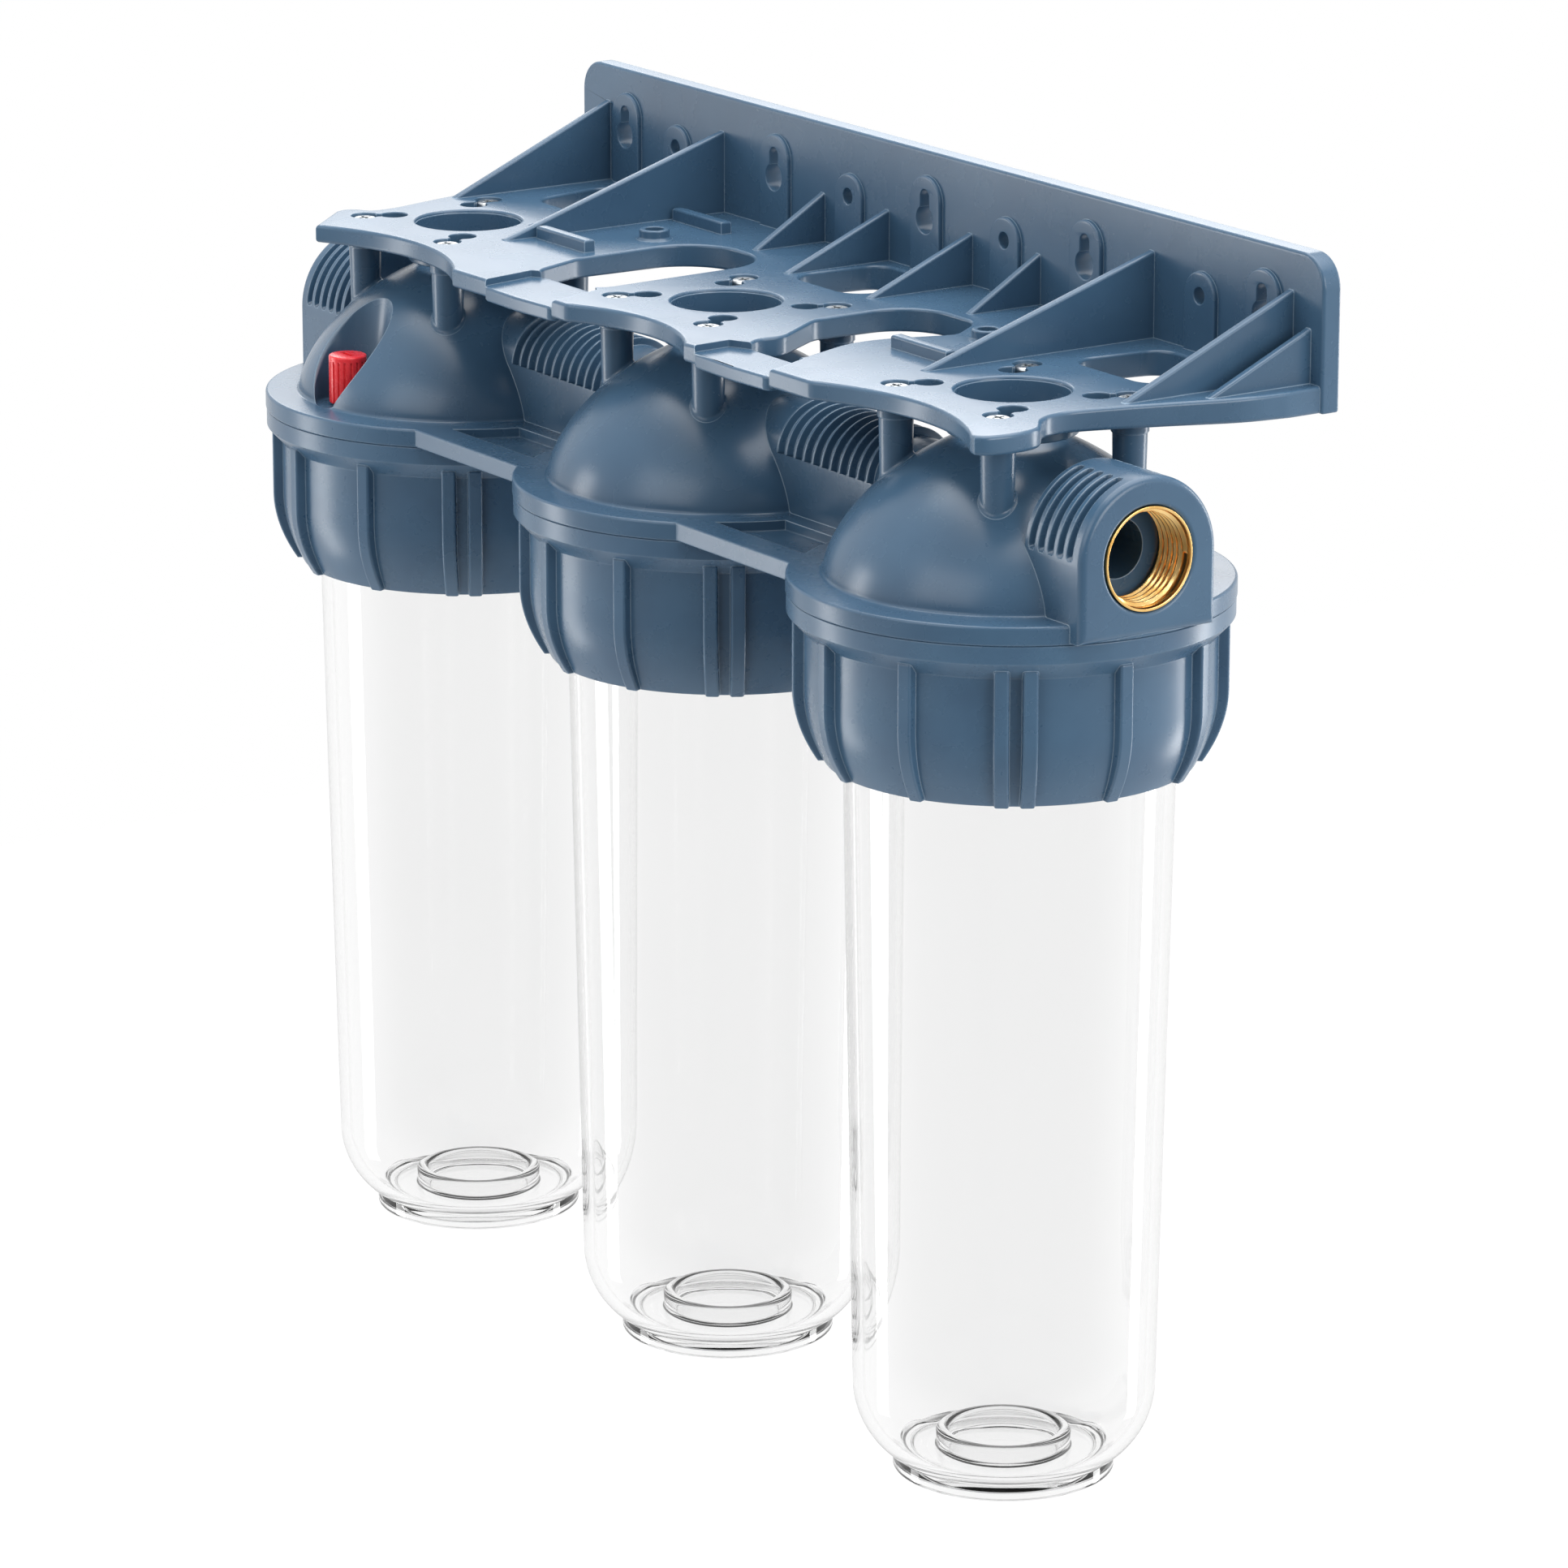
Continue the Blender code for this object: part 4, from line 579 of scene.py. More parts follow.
def keyLoop(first, second, radius, otherRadius, neck, steps=28):
    # two circles joined by a neck of half width neck
    first, second = np.array(first), np.array(second)
    heading = np.arctan2(*(second - first)[::-1])
    open1, open2 = np.arcsin(min(1, neck / radius)), np.arcsin(min(1, neck / otherRadius))
    loop = arc(first, radius, heading + open1, heading + tau - open1, steps)
    other = arc(second, otherRadius, heading + np.pi + open2, heading + 3 * np.pi - open2, steps)
    return np.vstack([loop, other])


def boxLoop(x, y):
    # four corners, from the low and high ends of x and of y
    return np.array([(x[0], y[0]), (x[1], y[0]), (x[1], y[1]), (x[0], y[1])], float)


bossPlaces = [onShelf((side * bracket["boss"][0], bracket["boss"][1])) for side in (-1, 1)]


def makeShelf():
    # the shelf's outline with its windows, cups, screw slots and boss holes
    b = bracket
    front = np.vstack([arcThrough(*[onShelf(share) for share in scallop], 36) for scallop in scallops])
    ends = [onShelf(share) for share in outletEnd], [onShelf(share) for share in reversed(inletEnd)]
    wall = [(b["plateHalf"] - 1, -b["plateThick"] / 2), (-b["plateHalf"] + 1, -b["plateThick"] / 2)]
    outline = np.vstack([front, smoothed(ends[0]), wall, smoothed(ends[1])])
    holes = [(rounded([onShelf(c) + (c[2] * row["pitch"],) for c in window], 12), b["windowEdge"])
             for window in windows]
    holes += [(arc(place, b["cup"] + b["cupGap"], steps=96), b["cupEdge"]) for place in heads]
    for outer, inner in zip(roundHeads(b["slotOuter"]), roundHeads(b["slotInner"])):
        holes.append((keyLoop(outer, inner, b["slotRadius"], b["slotRadius"], b["slotNeck"]), b["slotEdge"]))
    holes += [(arc(place, b["bossHole"] + b["bossGap"], steps=32), b["bossEdge"]) for place in bossPlaces]
    return solid("bracket", [plate([(outline, b["shelfEdge"])] + holes, underside, 0.0)])


def shelfParts():
    # sunk strips, collars under the cups, bosses, the floors of the screw slots and short bars
    b = bracket
    lines = [rounded([onShelf(c) + (c[2],) for c in strip], 6) for strip in strips]
    top = -b["stripDrop"]
    steps = [cut("recess", [plate([(line, tiny)], top, b["recessTop"], 1) for line in lines]),
             join("strips", [plate([(line, b["stripEdge"])], top - b["stripThick"], top + tiny)
                             for line in lines])]
    wide = b["cup"] + b["collarWall"]
    collar = rounded([(b["cup"], b["collarBottom"], 0.5), (wide, b["collarBottom"], 0.6), (wide, -1.2, 0.2),
                      (b["cup"], -0.9, 0.25)], 4)
    foot = b["bossRadius"] + 0.8
    boss = rounded([(b["bossHole"], -b["thickWall"] + 0.5, 0.2), (foot, -3, 0), (foot, 0.0, 0),
                    (b["bossRadius"], 0.7, 0.4), (b["bossRadius"], b["bossHeight"], 0.5),
                    (b["bossHole"], b["bossHeight"], 0.3)], 4)
    steps.append(join("collars", [turn(collar, 96, place, loop=True) for place in heads]
                      + [turn(boss, 48, place, loop=True) for place in bossPlaces]))
    shapes = []
    for place in roundHeads(b["slotOuter"]):
        floor = arc(place, b["slotRadius"] + b["slotLap"], steps=40)
        shapes.append(plate([(floor, tiny), (arc(place, b["screwHole"], steps=32), tiny)],
                            -b["thickFront"] - b["slotSink"], b["slotFloor"], 1))
    for side in (-1, 1):
        ends = sorted(alongRow(side * share) for share in b["barEnds"])
        for share in b["barRows"]:
            y, half = acrossShelf(share), b["barWidth"] / 2
            bar = boxLoop(ends, (y - half, y + half))
            shapes.append(plate([(bar, b["barEdge"])], -b["sink"], b["barHeight"]))
    return steps + [join("floorsAndBars", shapes)]


def wallParts():
    # the wall plate and the raised pads round its holes, drawn in X and Z with their thickness as Y, and
    # the gussets
    b = bracket
    half, foot, face = b["plateHalf"], -b["thickWall"], -b["plateThick"]
    body = rounded([(-half, foot, 0.6), (half, foot, 0.6), (half, b["plateTop"], b["plateCorner"]),
                    (-half, b["plateTop"], b["plateCorner"])], 10)
    keys = [alongRow(share) for share in b["keyPads"]]
    rounds = [alongRow(share) for share in b["roundPads"]]
    keyHoles = [keyLoop((x, b["keyHoleZ"]), (x, b["keyNeckTop"] - b["keyNeck"]), b["keyHole"], b["keyNeck"],
                        b["keyNeck"]) for x in keys]
    roundHoles = [arc((x, b["roundHoleZ"]), b["roundHole"], steps=32) for x in rounds]
    holes = [(loop, b["holeEdge"]) for loop in keyHoles + roundHoles]
    steps = [join("wall", [swapped(plate([(body, b["plateEdge"])] + holes, face, 0.0), [0, 2, 1])])]
    shapes = []
    pads = [(x, b["keyPadHalf"], b["keyPadTop"], loop) for x, loop in zip(keys, keyHoles)]
    pads += [(x, b["roundPadHalf"], b["roundPadTop"], loop) for x, loop in zip(rounds, roundHoles)]
    for x, half, top, hole in pads:
        dee = np.vstack([[(x - half, -b["sink"]), (x + half, -b["sink"])],
                         arc((x, top - half), half, 0, np.pi, 32)])
        middle = hole.mean(0)
        inner = middle + (hole - middle) * b["padHoleShare"]
        pad = plate([(dee, b["padEdge"]), (inner, b["padHoleEdge"])],
                    face - b["padProud"], face + b["padSink"])
        shapes.append(swapped(pad, [0, 2, 1]))
    steps.append(join("pads", shapes))
    shapes = []
    for side in (-1, 1):
        for along, height, tip in b["gussets"]:
            x, y = onShelf((side * along, tip))
            top = height * b["plateTop"]
            line = rounded([(face + b["sink"], -b["sink"], 0), (face + b["sink"], top, 0), (face, top, 1.2),
                            (y, 0, 1.5), (y, -b["sink"], 0)])
            shapes.append(swapped(plate([(line, b["gussetEdge"])], x - b["gussetThick"] / 2,
                                        x + b["gussetThick"] / 2), [2, 0, 1]))
    return steps + [join("gussets", shapes)]


wallBracket = combined(makeShelf(), shelfParts() + wallParts())
finishPiece(wallBracket, bluePlastic, "housing", ["wall_bracket"])


# Heads: three domes on flanges, joined by ribbed passages and webs, with a port block at each end

head = {
    "footFillet": 1.2, "flangeEdge": 0.8, "collar": 51.5, "collarEnd": -80.2, "chamber": 44.5, "wall": 4.0,
    "webHalf": 43.7, "webEdge": 0.5, "webRim": 34.5, "pocketInner": 17.5, "pocketRadius": 57.5,
    "pocketDepth": 2.8, "pocketEdge": 0.3,
    "passageHalf": 14.6, "passageFoot": 11.8, "passageReach": 115.0,
    "ribHeight": 2.0, "ribWidth": 1.2, "ribPitch": 4.24, "ribs": 11, "ribEdge": 0.6, "ribEnd": 6.0,
    "portHalf": 21.75, "portFace": 195.4, "portRoot": 170.5, "portBottom": -53.9, "portEdge": 2.0,
    "portGrooves": 5, "portGrooveStart": 173.4, "portGroovePitch": 4.1, "portGrooveWidth": 2.3,
    "portGrooveDepth": 1.9, "portGrooveEdge": 0.5, "portGrooveFoot": 7.0, "portGrooveTurn": 72.0,
    "column": 13.0, "columnEnd": -62.0, "columnBore": 7.0, "duct": 12.0, "ductBore": 8.0, "ductPast": 9.0,
    "boreEnd": 30.0, "boreShort": 3.0, "socket": 14.0, "socketDepth": 13.8, "socketRound": 1.3,
    "post": 4.7, "postFoot": 4.2, "postCap": 5.1, "postCapHeight": 3.0, "postTopGap": 0.3, "postFillet": 0.7,
    "postFilletHeight": 1.2, "postSides": 48, "screwHole": 2.2, "screwHoleEnd": -17.3,
    "nicheLow": 9.4, "nicheHigh": 14.9, "nicheTop": -9.0, "nicheSink": 0.4, "nicheWall": 3.0,
    "nicheFloor": 5.5,
    "ventBore": 2.38, "ventBoreEnd": -57.5, "ventPocket": 4.3, "ventPocketDepth": 1.6,
}


def domeHeight(radius, outer=None, top=None):
    # a rounded dome: height over the flange and radius, each as a share of the whole, obey a^n + b^n = 1
    outer, top = outer or row["domeRadius"], top or row["domeTop"]
    share, power = np.clip(radius / outer, 0, 1), row["domePower"]
    return row["flangeTop"] + (top - row["flangeTop"]) * (1 - share ** power) ** (1 / power)


def domeLine(outer, top, steps):
    # radius and height from the top down, in even steps of the angle whose sine is the radius
    radius = outer * np.sin(np.linspace(0, np.pi / 2, steps + 1))
    return np.stack([radius, domeHeight(radius, outer, top)], -1)


def domeBody(place):
    # a dome with a fillet at its foot, its flange and the collar under it, from corners of radius, height
    # and rounding
    h = head
    dome = domeLine(row["domeRadius"], row["domeTop"], 56)
    dome = dome[dome[:, 1] > row["flangeTop"] + h["footFillet"]]
    foot = np.array([dome[-1, 0], row["flangeTop"]])
    fillet = rounded([tuple(dome[-1]) + (0,), (foot[0] + 0.15, foot[1], 1.0), (foot[0] + 3, foot[1], 0)],
                     closed=False)
    rest = rounded([(foot[0] + 3, foot[1], 0), (row["flangeRadius"], row["flangeTop"], h["flangeEdge"]),
                    (row["flangeRadius"], row["flangeBottom"], 0.5), (h["collar"], row["flangeBottom"], 0.3),
                    (h["collar"], h["collarEnd"], 0.5), (0.0, h["collarEnd"], 0)], closed=False)
    return join("domeBody", [turn(np.vstack([dome, fillet[1:], rest[1:]]), 160, place)])


def bandShare(x, past, centres, width, edge):
    # 1 within a band round each centre, 0 outside it, with eased edges; past is how far a place lies beyond
    # the band's ends, and the distance from the centre line, by the hypotenuse of both, makes the ends half
    # round
    off = np.abs(x[:, None] - centres).min(1)[:, None]
    t = np.clip((width / 2 + edge / 2 - np.hypot(off, past)) / edge, 0, 1)
    return t * t * (3 - 2 * t)


def bandStations(centres, width, edge, start, end):
    # where the points lie along the row: close together at the edges of each band
    near = -width / 2 + edge * np.array([-1, -0.5, -0.25, 0, 0.25, 0.5])
    offsets = np.concatenate([near, [0], -near[::-1]])
    stations = (centres[:, None] + offsets).ravel()
    return np.unique(np.concatenate([[start, end], stations[(stations > start) & (stations < end)]]))


def archAngles():
    # half a turn, in steps of one degree near both ends
    near = np.linspace(0, 12, 13)
    return np.radians(np.concatenate([near, np.linspace(12, 168, 41)[1:-1], 180 - near[::-1]]))


def passageShape(start, end, centres):
    # arch over sloping sides, drawn across the row and carried along it, with ribs standing on the arch
    h = head
    x = bandStations(centres, h["ribWidth"], h["ribEdge"], start, end)
    angle = archAngles()
    core = h["passageHalf"] - h["ribHeight"]
    past = np.maximum(np.radians(h["ribEnd"]) - np.minimum(angle, np.pi - angle), 0) * core
    radius = core + h["ribHeight"] * bandShare(x, past, centres, h["ribWidth"], h["ribEdge"])
    y, z = radius * np.cos(angle), row["passageZ"] + radius * np.sin(angle)
    down = np.linspace(0, 1, 7)[1:]
    foot = row["flangeTop"] - cutPast
    sideY = core + (h["passageFoot"] - core) * down
    sideZ = row["passageZ"] + (foot - row["passageZ"]) * down
    ys = np.hstack([y, np.broadcast_to(np.concatenate([-sideY, sideY[::-1]]), (len(x), 2 * len(down)))])
    zs = np.hstack([z, np.broadcast_to(np.concatenate([sideZ, sideZ[::-1]]), (len(x), 2 * len(down)))])
    xs = np.broadcast_to(x[:, None], ys.shape)
    return grid(np.stack([xs, row["axisY"] + ys, zs], -1))


def portShape(side):
    # an arched outline carried along the row, drawn in by a quarter circle at the face
    h = head
    centres = h["portGrooveStart"] + h["portGroovePitch"] * np.arange(h["portGrooves"])
    flat = bandStations(centres, h["portGrooveWidth"], h["portGrooveEdge"], h["portRoot"],
                        h["portFace"] - h["portEdge"])
    turnIn = np.linspace(0, np.pi / 2, 8)
    x = np.concatenate([flat, h["portFace"] - h["portEdge"] * (1 - np.sin(turnIn[1:]))])
    inset = np.concatenate([np.zeros(len(flat)), h["portEdge"] * (1 - np.cos(turnIn[1:]))])
    angle = archAngles()
    stops = np.radians(np.linspace(-6, 6, 13) + h["portGrooveTurn"])
    angle = np.unique(np.concatenate([angle, stops, np.pi - stops]))
    low, high = np.radians([h["portGrooveFoot"], h["portGrooveTurn"]])
    climb = np.minimum(angle, np.pi - angle)
    past = np.maximum(np.maximum(low - climb, climb - high), 0) * h["portHalf"]
    deep = bandShare(x, past, centres, h["portGrooveWidth"], h["portGrooveEdge"])
    radius = h["portHalf"] - inset[:, None] - h["portGrooveDepth"] * deep
    y, z = radius * np.cos(angle), row["passageZ"] + radius * np.sin(angle)
    half = h["portHalf"] - inset[:, None]
    bottom = h["portBottom"] + inset[:, None]
    down = np.linspace(0, 1, 9)[1:]
    sideZ = row["passageZ"] + (bottom - row["passageZ"]) * down
    floor = np.linspace(-1, 1, 13)[1:-1]
    ys = np.hstack([y, -half + 0 * down, half * floor, half + 0 * down])
    zs = np.hstack([z, sideZ, bottom + 0 * floor, sideZ[:, ::-1]])
    xs = np.broadcast_to(side * x[:, None], ys.shape)
    return grid(np.stack([xs, row["axisY"] + ys, zs], -1))


def postShape(place, centre):
    # an upright post, a little slimmer at its foot, with a cap at the top: the fillet at the foot is a
    # parabola over the dome's own height
    h = head
    angle = np.arange(h["postSides"]) * tau / h["postSides"]
    top = float(underside(np.array([place]))[0]) - h["postTopGap"]
    # heights of the post's lower points over the dome
    rise = np.array([-6, -1, 0.0, 0.15, 0.3, 0.5, 0.75, 1.0, 1.25, 2.0])[:, None]
    reach = h["postFoot"] + h["postFillet"]
    far = np.hypot(place[0] + reach * np.cos(angle) - centre[0], place[1] + reach * np.sin(angle) - centre[1])
    low = domeHeight(far) + rise
    fillet = h["postFillet"] * np.clip(1 - rise / h["postFilletHeight"], 0, 1) ** 2
    under = top - h["postCapHeight"]
    climb = np.clip((low - low.min()) / (under - low.min()), 0, 1)
    slim = h["postFoot"] + (h["post"] - h["postFoot"]) * climb
    caps = [(h["post"], under - 0.1), (h["postCap"] - 0.1, under), (h["postCap"], under + 0.15),
            (h["postCap"], top - 0.5), (h["postCap"] - 0.15, top - 0.15), (h["postCap"] - 0.5, top)]
    radius = np.vstack([slim + fillet] + [np.full(len(angle), r) for r, _ in caps])
    z = np.vstack([low] + [np.full(len(angle), height) for _, height in caps])
    return revolved(radius, z, place)


def rod(radius, low, high, place=(0.0, 0.0), columns=64):
    # an upright cylinder
    return turn([(radius, high), (radius, low)], columns, place)


def lyingRod(radius, start, end):
    # a cylinder along the row, on the passages' axis
    return layAlongX(rod(radius, start, end), 1, 0.0)


def chamberCut(stage):
    # the room under a dome, less its middle column, the duct and the wall round the vent's niche
    h, (x, y) = head, heads[stage]
    below = h["collarEnd"] - cutPast
    dome = domeLine(h["chamber"], row["domeTop"] - h["wall"], 24)
    line = np.vstack([dome, [(h["chamber"], below), (0, below)]])
    cavity = solid("cavity", [turn(line, 128, (x, y))])
    cuts = [cut("column", [rod(h["column"], h["columnEnd"], 0.0, (x, y), 96)]),
            cut("duct", [lyingRod(h["duct"], x + h["columnBore"] / 2, x + h["chamber"] + cutPast)])]
    if stage == 0:
        low, top = row["flangeTop"] - h["nicheFloor"], h["nicheTop"] + cutPast
        near, far = h["nicheLow"] + h["nicheWall"], h["nicheHigh"] + h["nicheWall"]
        jacket = [(0, top), (far, top), (near, row["flangeTop"]), (near, low), (0, low)]
        cuts.append(cut("jacket", [turn(jacket, 96, ventPlace)]))
    return combined(cavity, cuts)


def pocketShapes():
    # hollows in the web between the heads, each bounded by circles round both
    h, half, axis, radius = head, row["pitch"] / 2, row["axisY"], head["pocketRadius"]
    near, far = np.arcsin(h["pocketInner"] / radius), np.arcsin(h["webRim"] / radius)
    shapes = []
    for x in (-half, half):
        for side in (-1, 1):
            line = np.vstack([arc((x - half, axis), radius, side * near, side * far, 16),
                              arc((x + half, axis), radius, np.pi - side * far, np.pi - side * near, 16)])
            shapes.append(plate([(line, h["pocketEdge"])], row["flangeTop"] - h["pocketDepth"],
                                row["flangeTop"] + cutPast, 3))
    return shapes


def makeHead():
    # the web first, then what stands on it, then all that is cut from the whole
    h, axis, flange = head, row["axisY"], row["flangeTop"]
    outline = boxLoop((-row["pitch"], row["pitch"]), (axis - h["webHalf"], axis + h["webHalf"]))
    web = solid("head", [plate([(outline, h["webEdge"])], row["flangeBottom"], flange, 3)])
    ribs = h["ribPitch"] * (np.arange(h["ribs"]) - (h["ribs"] - 1) / 2)
    centres = np.concatenate([side * row["pitch"] / 2 + ribs for side in (-1, 1)])
    places = roundHeads(bracket["slotOuter"])
    floor = flange - h["nicheSink"]
    niche = rounded([(0, h["nicheTop"], 0), (h["nicheHigh"], h["nicheTop"], 0), (h["nicheLow"], floor, 0.8),
                     (0, floor, 0)], closed=False)
    bores = [(x - h["ductPast"], heads[i + 1][0] - h["boreEnd"]) for i, (x, _) in enumerate(heads[:-1])]
    bores += [(heads[2][0] - h["ductPast"], h["portFace"] - h["boreShort"]),
              (-h["portFace"] + h["boreShort"], heads[0][0] - h["boreEnd"])]
    mouth = arc((h["socket"] + h["socketRound"], -h["socketRound"]), h["socketRound"], np.pi / 2, np.pi, 8)
    socket = np.vstack([[(0, 3), (h["socket"] + 4, 3), (mouth[0, 0] + 0.3, 0.05)], mouth,
                        [(h["socket"], -h["socketDepth"]), (0, -h["socketDepth"])]])
    steps = [domeBody(place) for place in heads]
    steps += [join("passages", [passageShape(-h["passageReach"], h["passageReach"], centres)]),
              join("ports", [portShape(side) for side in (-1, 1)]),
              join("posts", [postShape(place, heads[number // 4]) for number, place in enumerate(places)]),
              cut("pockets", pocketShapes()), cut("niche", [turn(niche, 96, ventPlace)])]
    steps += [("DIFFERENCE", chamberCut(stage)) for stage in range(3)]
    steps += [cut("columnBores", [rod(h["columnBore"], h["columnEnd"] - cutPast, row["passageZ"], place)
                                  for place in heads]),
              cut("ductBores", [lyingRod(h["ductBore"], start, end) for start, end in bores]),
              cut("sockets", [layAlongX(turn(socket, 96), side, h["portFace"]) for side in (-1, 1)]),
              cut("screwHoles", [rod(h["screwHole"], h["screwHoleEnd"], cutPast, place, 24)
                                 for place in places]),
              cut("ventBore", [rod(h["ventBore"], h["ventBoreEnd"], flange + cutPast, ventPlace)]),
              cut("ventPocket", [rod(h["ventPocket"], flange - h["ventPocketDepth"], flange + cutPast,
                                     ventPlace)])]
    finishPiece(combined(web, steps), headPlastic, "housing", ["manifold_head"])


makeHead()


# Union nuts: a rim, a slanting shoulder and a skirt that draws in, with ribs

nut = {
    "top": -54.45, "rim": 59.5, "rimBottom": -59.4, "body": 55.0, "chamferEnd": -64.2, "curveStart": -80.0,
    "bottom": -100.0, "foot": 49.5, "bore": 52.1, "ledge": -88.0, "lip": 45.0,
    "rib": 58.0, "ribFoot": 51.2, "ribTop": -61.3, "ribWidth": 4.0, "ribInnerTop": 53.8, "ribInnerFoot": 48.0,
    "places": 12, "firstTurn": -34.5, "pairEvery": 3, "pairTurn": 3.8, "ribEdge": 0.7, "columns": 192,
}


def skirtLine(first, last, steps=14):
    # the radius falls with the square of the depth
    n = nut
    share = np.linspace(0, 1, steps + 1)
    return np.stack([first + (last - first) * share ** 2,
                     n["curveStart"] + (n["bottom"] - n["curveStart"]) * share], -1)


def makeNut(stage):
    # a ring turned from its section's corners of radius, height and rounding, with ribs joined to it
    n = nut
    upper = rounded([(n["bore"], n["top"] - 3, 0), (n["bore"], n["top"], 0.3), (n["rim"], n["top"], 0.4),
                     (n["rim"], n["rimBottom"], 0.4), (n["body"], n["chamferEnd"], 0.6),
                     (n["body"], n["curveStart"], 0)], 4, closed=False)
    lower = rounded([tuple(skirtLine(n["body"], n["foot"])[-2]) + (0,), (n["foot"], n["bottom"], 0.7),
                     (n["lip"], n["bottom"], 0.5), (n["lip"], n["ledge"], 0.3), (n["bore"], n["ledge"], 0.3),
                     (n["bore"], n["top"] - 3, 0)], 4, closed=False)
    profile = np.vstack([upper[1:], skirtLine(n["body"], n["foot"])[1:-2], lower])
    outline = np.vstack([rounded([(n["ribInnerTop"], n["ribTop"], 0), (n["rib"], n["ribTop"], 0.9),
                                  (n["rib"], n["curveStart"], 0)], closed=False),
                         skirtLine(n["rib"], n["ribFoot"])[1:],
                         [(n["ribInnerFoot"], n["bottom"] + tiny), (n["ribInnerTop"], n["curveStart"])]])
    rib = swapped(plate([(outline, n["ribEdge"])], -n["ribWidth"] / 2, n["ribWidth"] / 2), [0, 2, 1])
    x, y = heads[stage]
    ribs = []
    for place in range(n["places"]):
        around = np.radians(n["firstTurn"]) + tau * place / n["places"]
        # ribs stand in pairs at some places
        for offset in (-1, 1) if place % n["pairEvery"] == 0 else (0,):
            ribs.append(moved(spun(rib, around + offset * np.radians(n["pairTurn"])), x, y))
    ring = solid(f"nut{stage + 1}", [turn(profile, n["columns"], (x, y), loop=True)])
    ring = combined(ring, [join("ribs", ribs)])
    finishPiece(ring, nutPlastic, f"nut_{stage + 1}", [f"union_nut_{stage + 1}"])


# Bowls: a thick clear cup, its wall drawn in a little, a round shoulder and a foot ring

bowl = {
    "flange": 51.2, "flangeTop": -80.5, "flangeBottom": -87.7, "neck": 44.65, "waist": 41.2, "waistZ": -275.5,
    "wall": 3.0, "shoulder": 24.0, "foot": 30.2, "footWall": 3.1, "bottom": -300.2, "underside": -298.2,
    "floor": -295.2, "ringTop": -289.3, "ringOuter": 18.6, "ringInner": 15.2,
    "seal": 47.6, "sealCord": 1.6, "grooveHalf": 2.0, "grooveDepth": 3.8, "columns": 256, "sealColumns": 128,
}


def makeBowl(stage):
    # the section goes up the inside and down the outside; both shoulders are arcs about one centre
    b = bowl
    centre = b["waist"] - b["shoulder"]
    stop = np.arccos((b["foot"] - centre) / b["shoulder"])
    inner = b["shoulder"] - b["wall"]
    innerStop = np.arcsin((b["waistZ"] - b["floor"]) / inner)
    out = np.linspace(0, stop, 25)
    back = np.linspace(innerStop, 0, 25)
    outerArc = np.stack([centre + b["shoulder"] * np.cos(out), b["waistZ"] - b["shoulder"] * np.sin(out)], -1)
    innerArc = np.stack([centre + inner * np.cos(back), b["waistZ"] - inner * np.sin(back)], -1)
    inFoot, inNeck = b["foot"] - b["footWall"], b["neck"] - b["wall"]
    footLine = rounded([tuple(outerArc[-1]) + (0,), (b["foot"], b["bottom"], 1.1), (inFoot, b["bottom"], 1.1),
                        (inFoot, b["underside"], 0.9), (0, b["underside"], 0)], closed=False)
    floorLine = rounded([(0, b["floor"], 0), (b["ringInner"], b["floor"], 0.6),
                         (b["ringInner"], b["ringTop"], 1.4), (b["ringOuter"], b["ringTop"], 1.4),
                         (b["ringOuter"], b["floor"], 0.6), tuple(innerArc[0]) + (0,)], closed=False)
    top, groove = b["flangeTop"], b["flangeTop"] - b["grooveDepth"]
    near, far = b["seal"] - b["grooveHalf"], b["seal"] + b["grooveHalf"]
    topLine = rounded([(inNeck, top - 3, 0), (inNeck, top, 0.4), (near, top, 0.3), (near, groove, 0.3),
                       (far, groove, 0.3), (far, top, 0.3), (b["flange"], top, 0.4),
                       (b["flange"], b["flangeBottom"], 0.5), (b["neck"], b["flangeBottom"], 0.8),
                       tuple(outerArc[0]) + (0,)], closed=False)
    profile = np.vstack([floorLine, innerArc[1:], topLine[:-1], outerArc, footLine[1:]])
    cup = solid(f"bowl{stage + 1}", [turn(profile, b["columns"], heads[stage])])
    finishPiece(cup, clearPlastic, f"bowl_{stage + 1}", [f"bowl_{stage + 1}"])
    cord = arc((b["seal"], top - b["sealCord"]), b["sealCord"], steps=20)
    ring = solid(f"bowlSeal{stage + 1}", [turn(cord, b["sealColumns"], heads[stage], loop=True)])
    finishPiece(ring, rubber, f"bowl_{stage + 1}", [f"bowl_seal_{stage + 1}"])


for stage in range(3):
    makeNut(stage)
    makeBowl(stage)
print("nuts and bowls made")


# Brass inserts: a sleeve with a screw thread inside and a chamfered mouth

insert = {
    "radius": 13.9, "length": 13.5, "bore": 12.1, "mouth": 13.2, "chamfer": 1.1, "pitch": 2.0, "depth": 0.95,
    "threadStart": 1.0, "crest": 1.35, "flank": 3.4, "tail": 0.6, "runOut": 0.8, "wallLeft": 0.5,
    "rows": 130, "columns": 144,
}


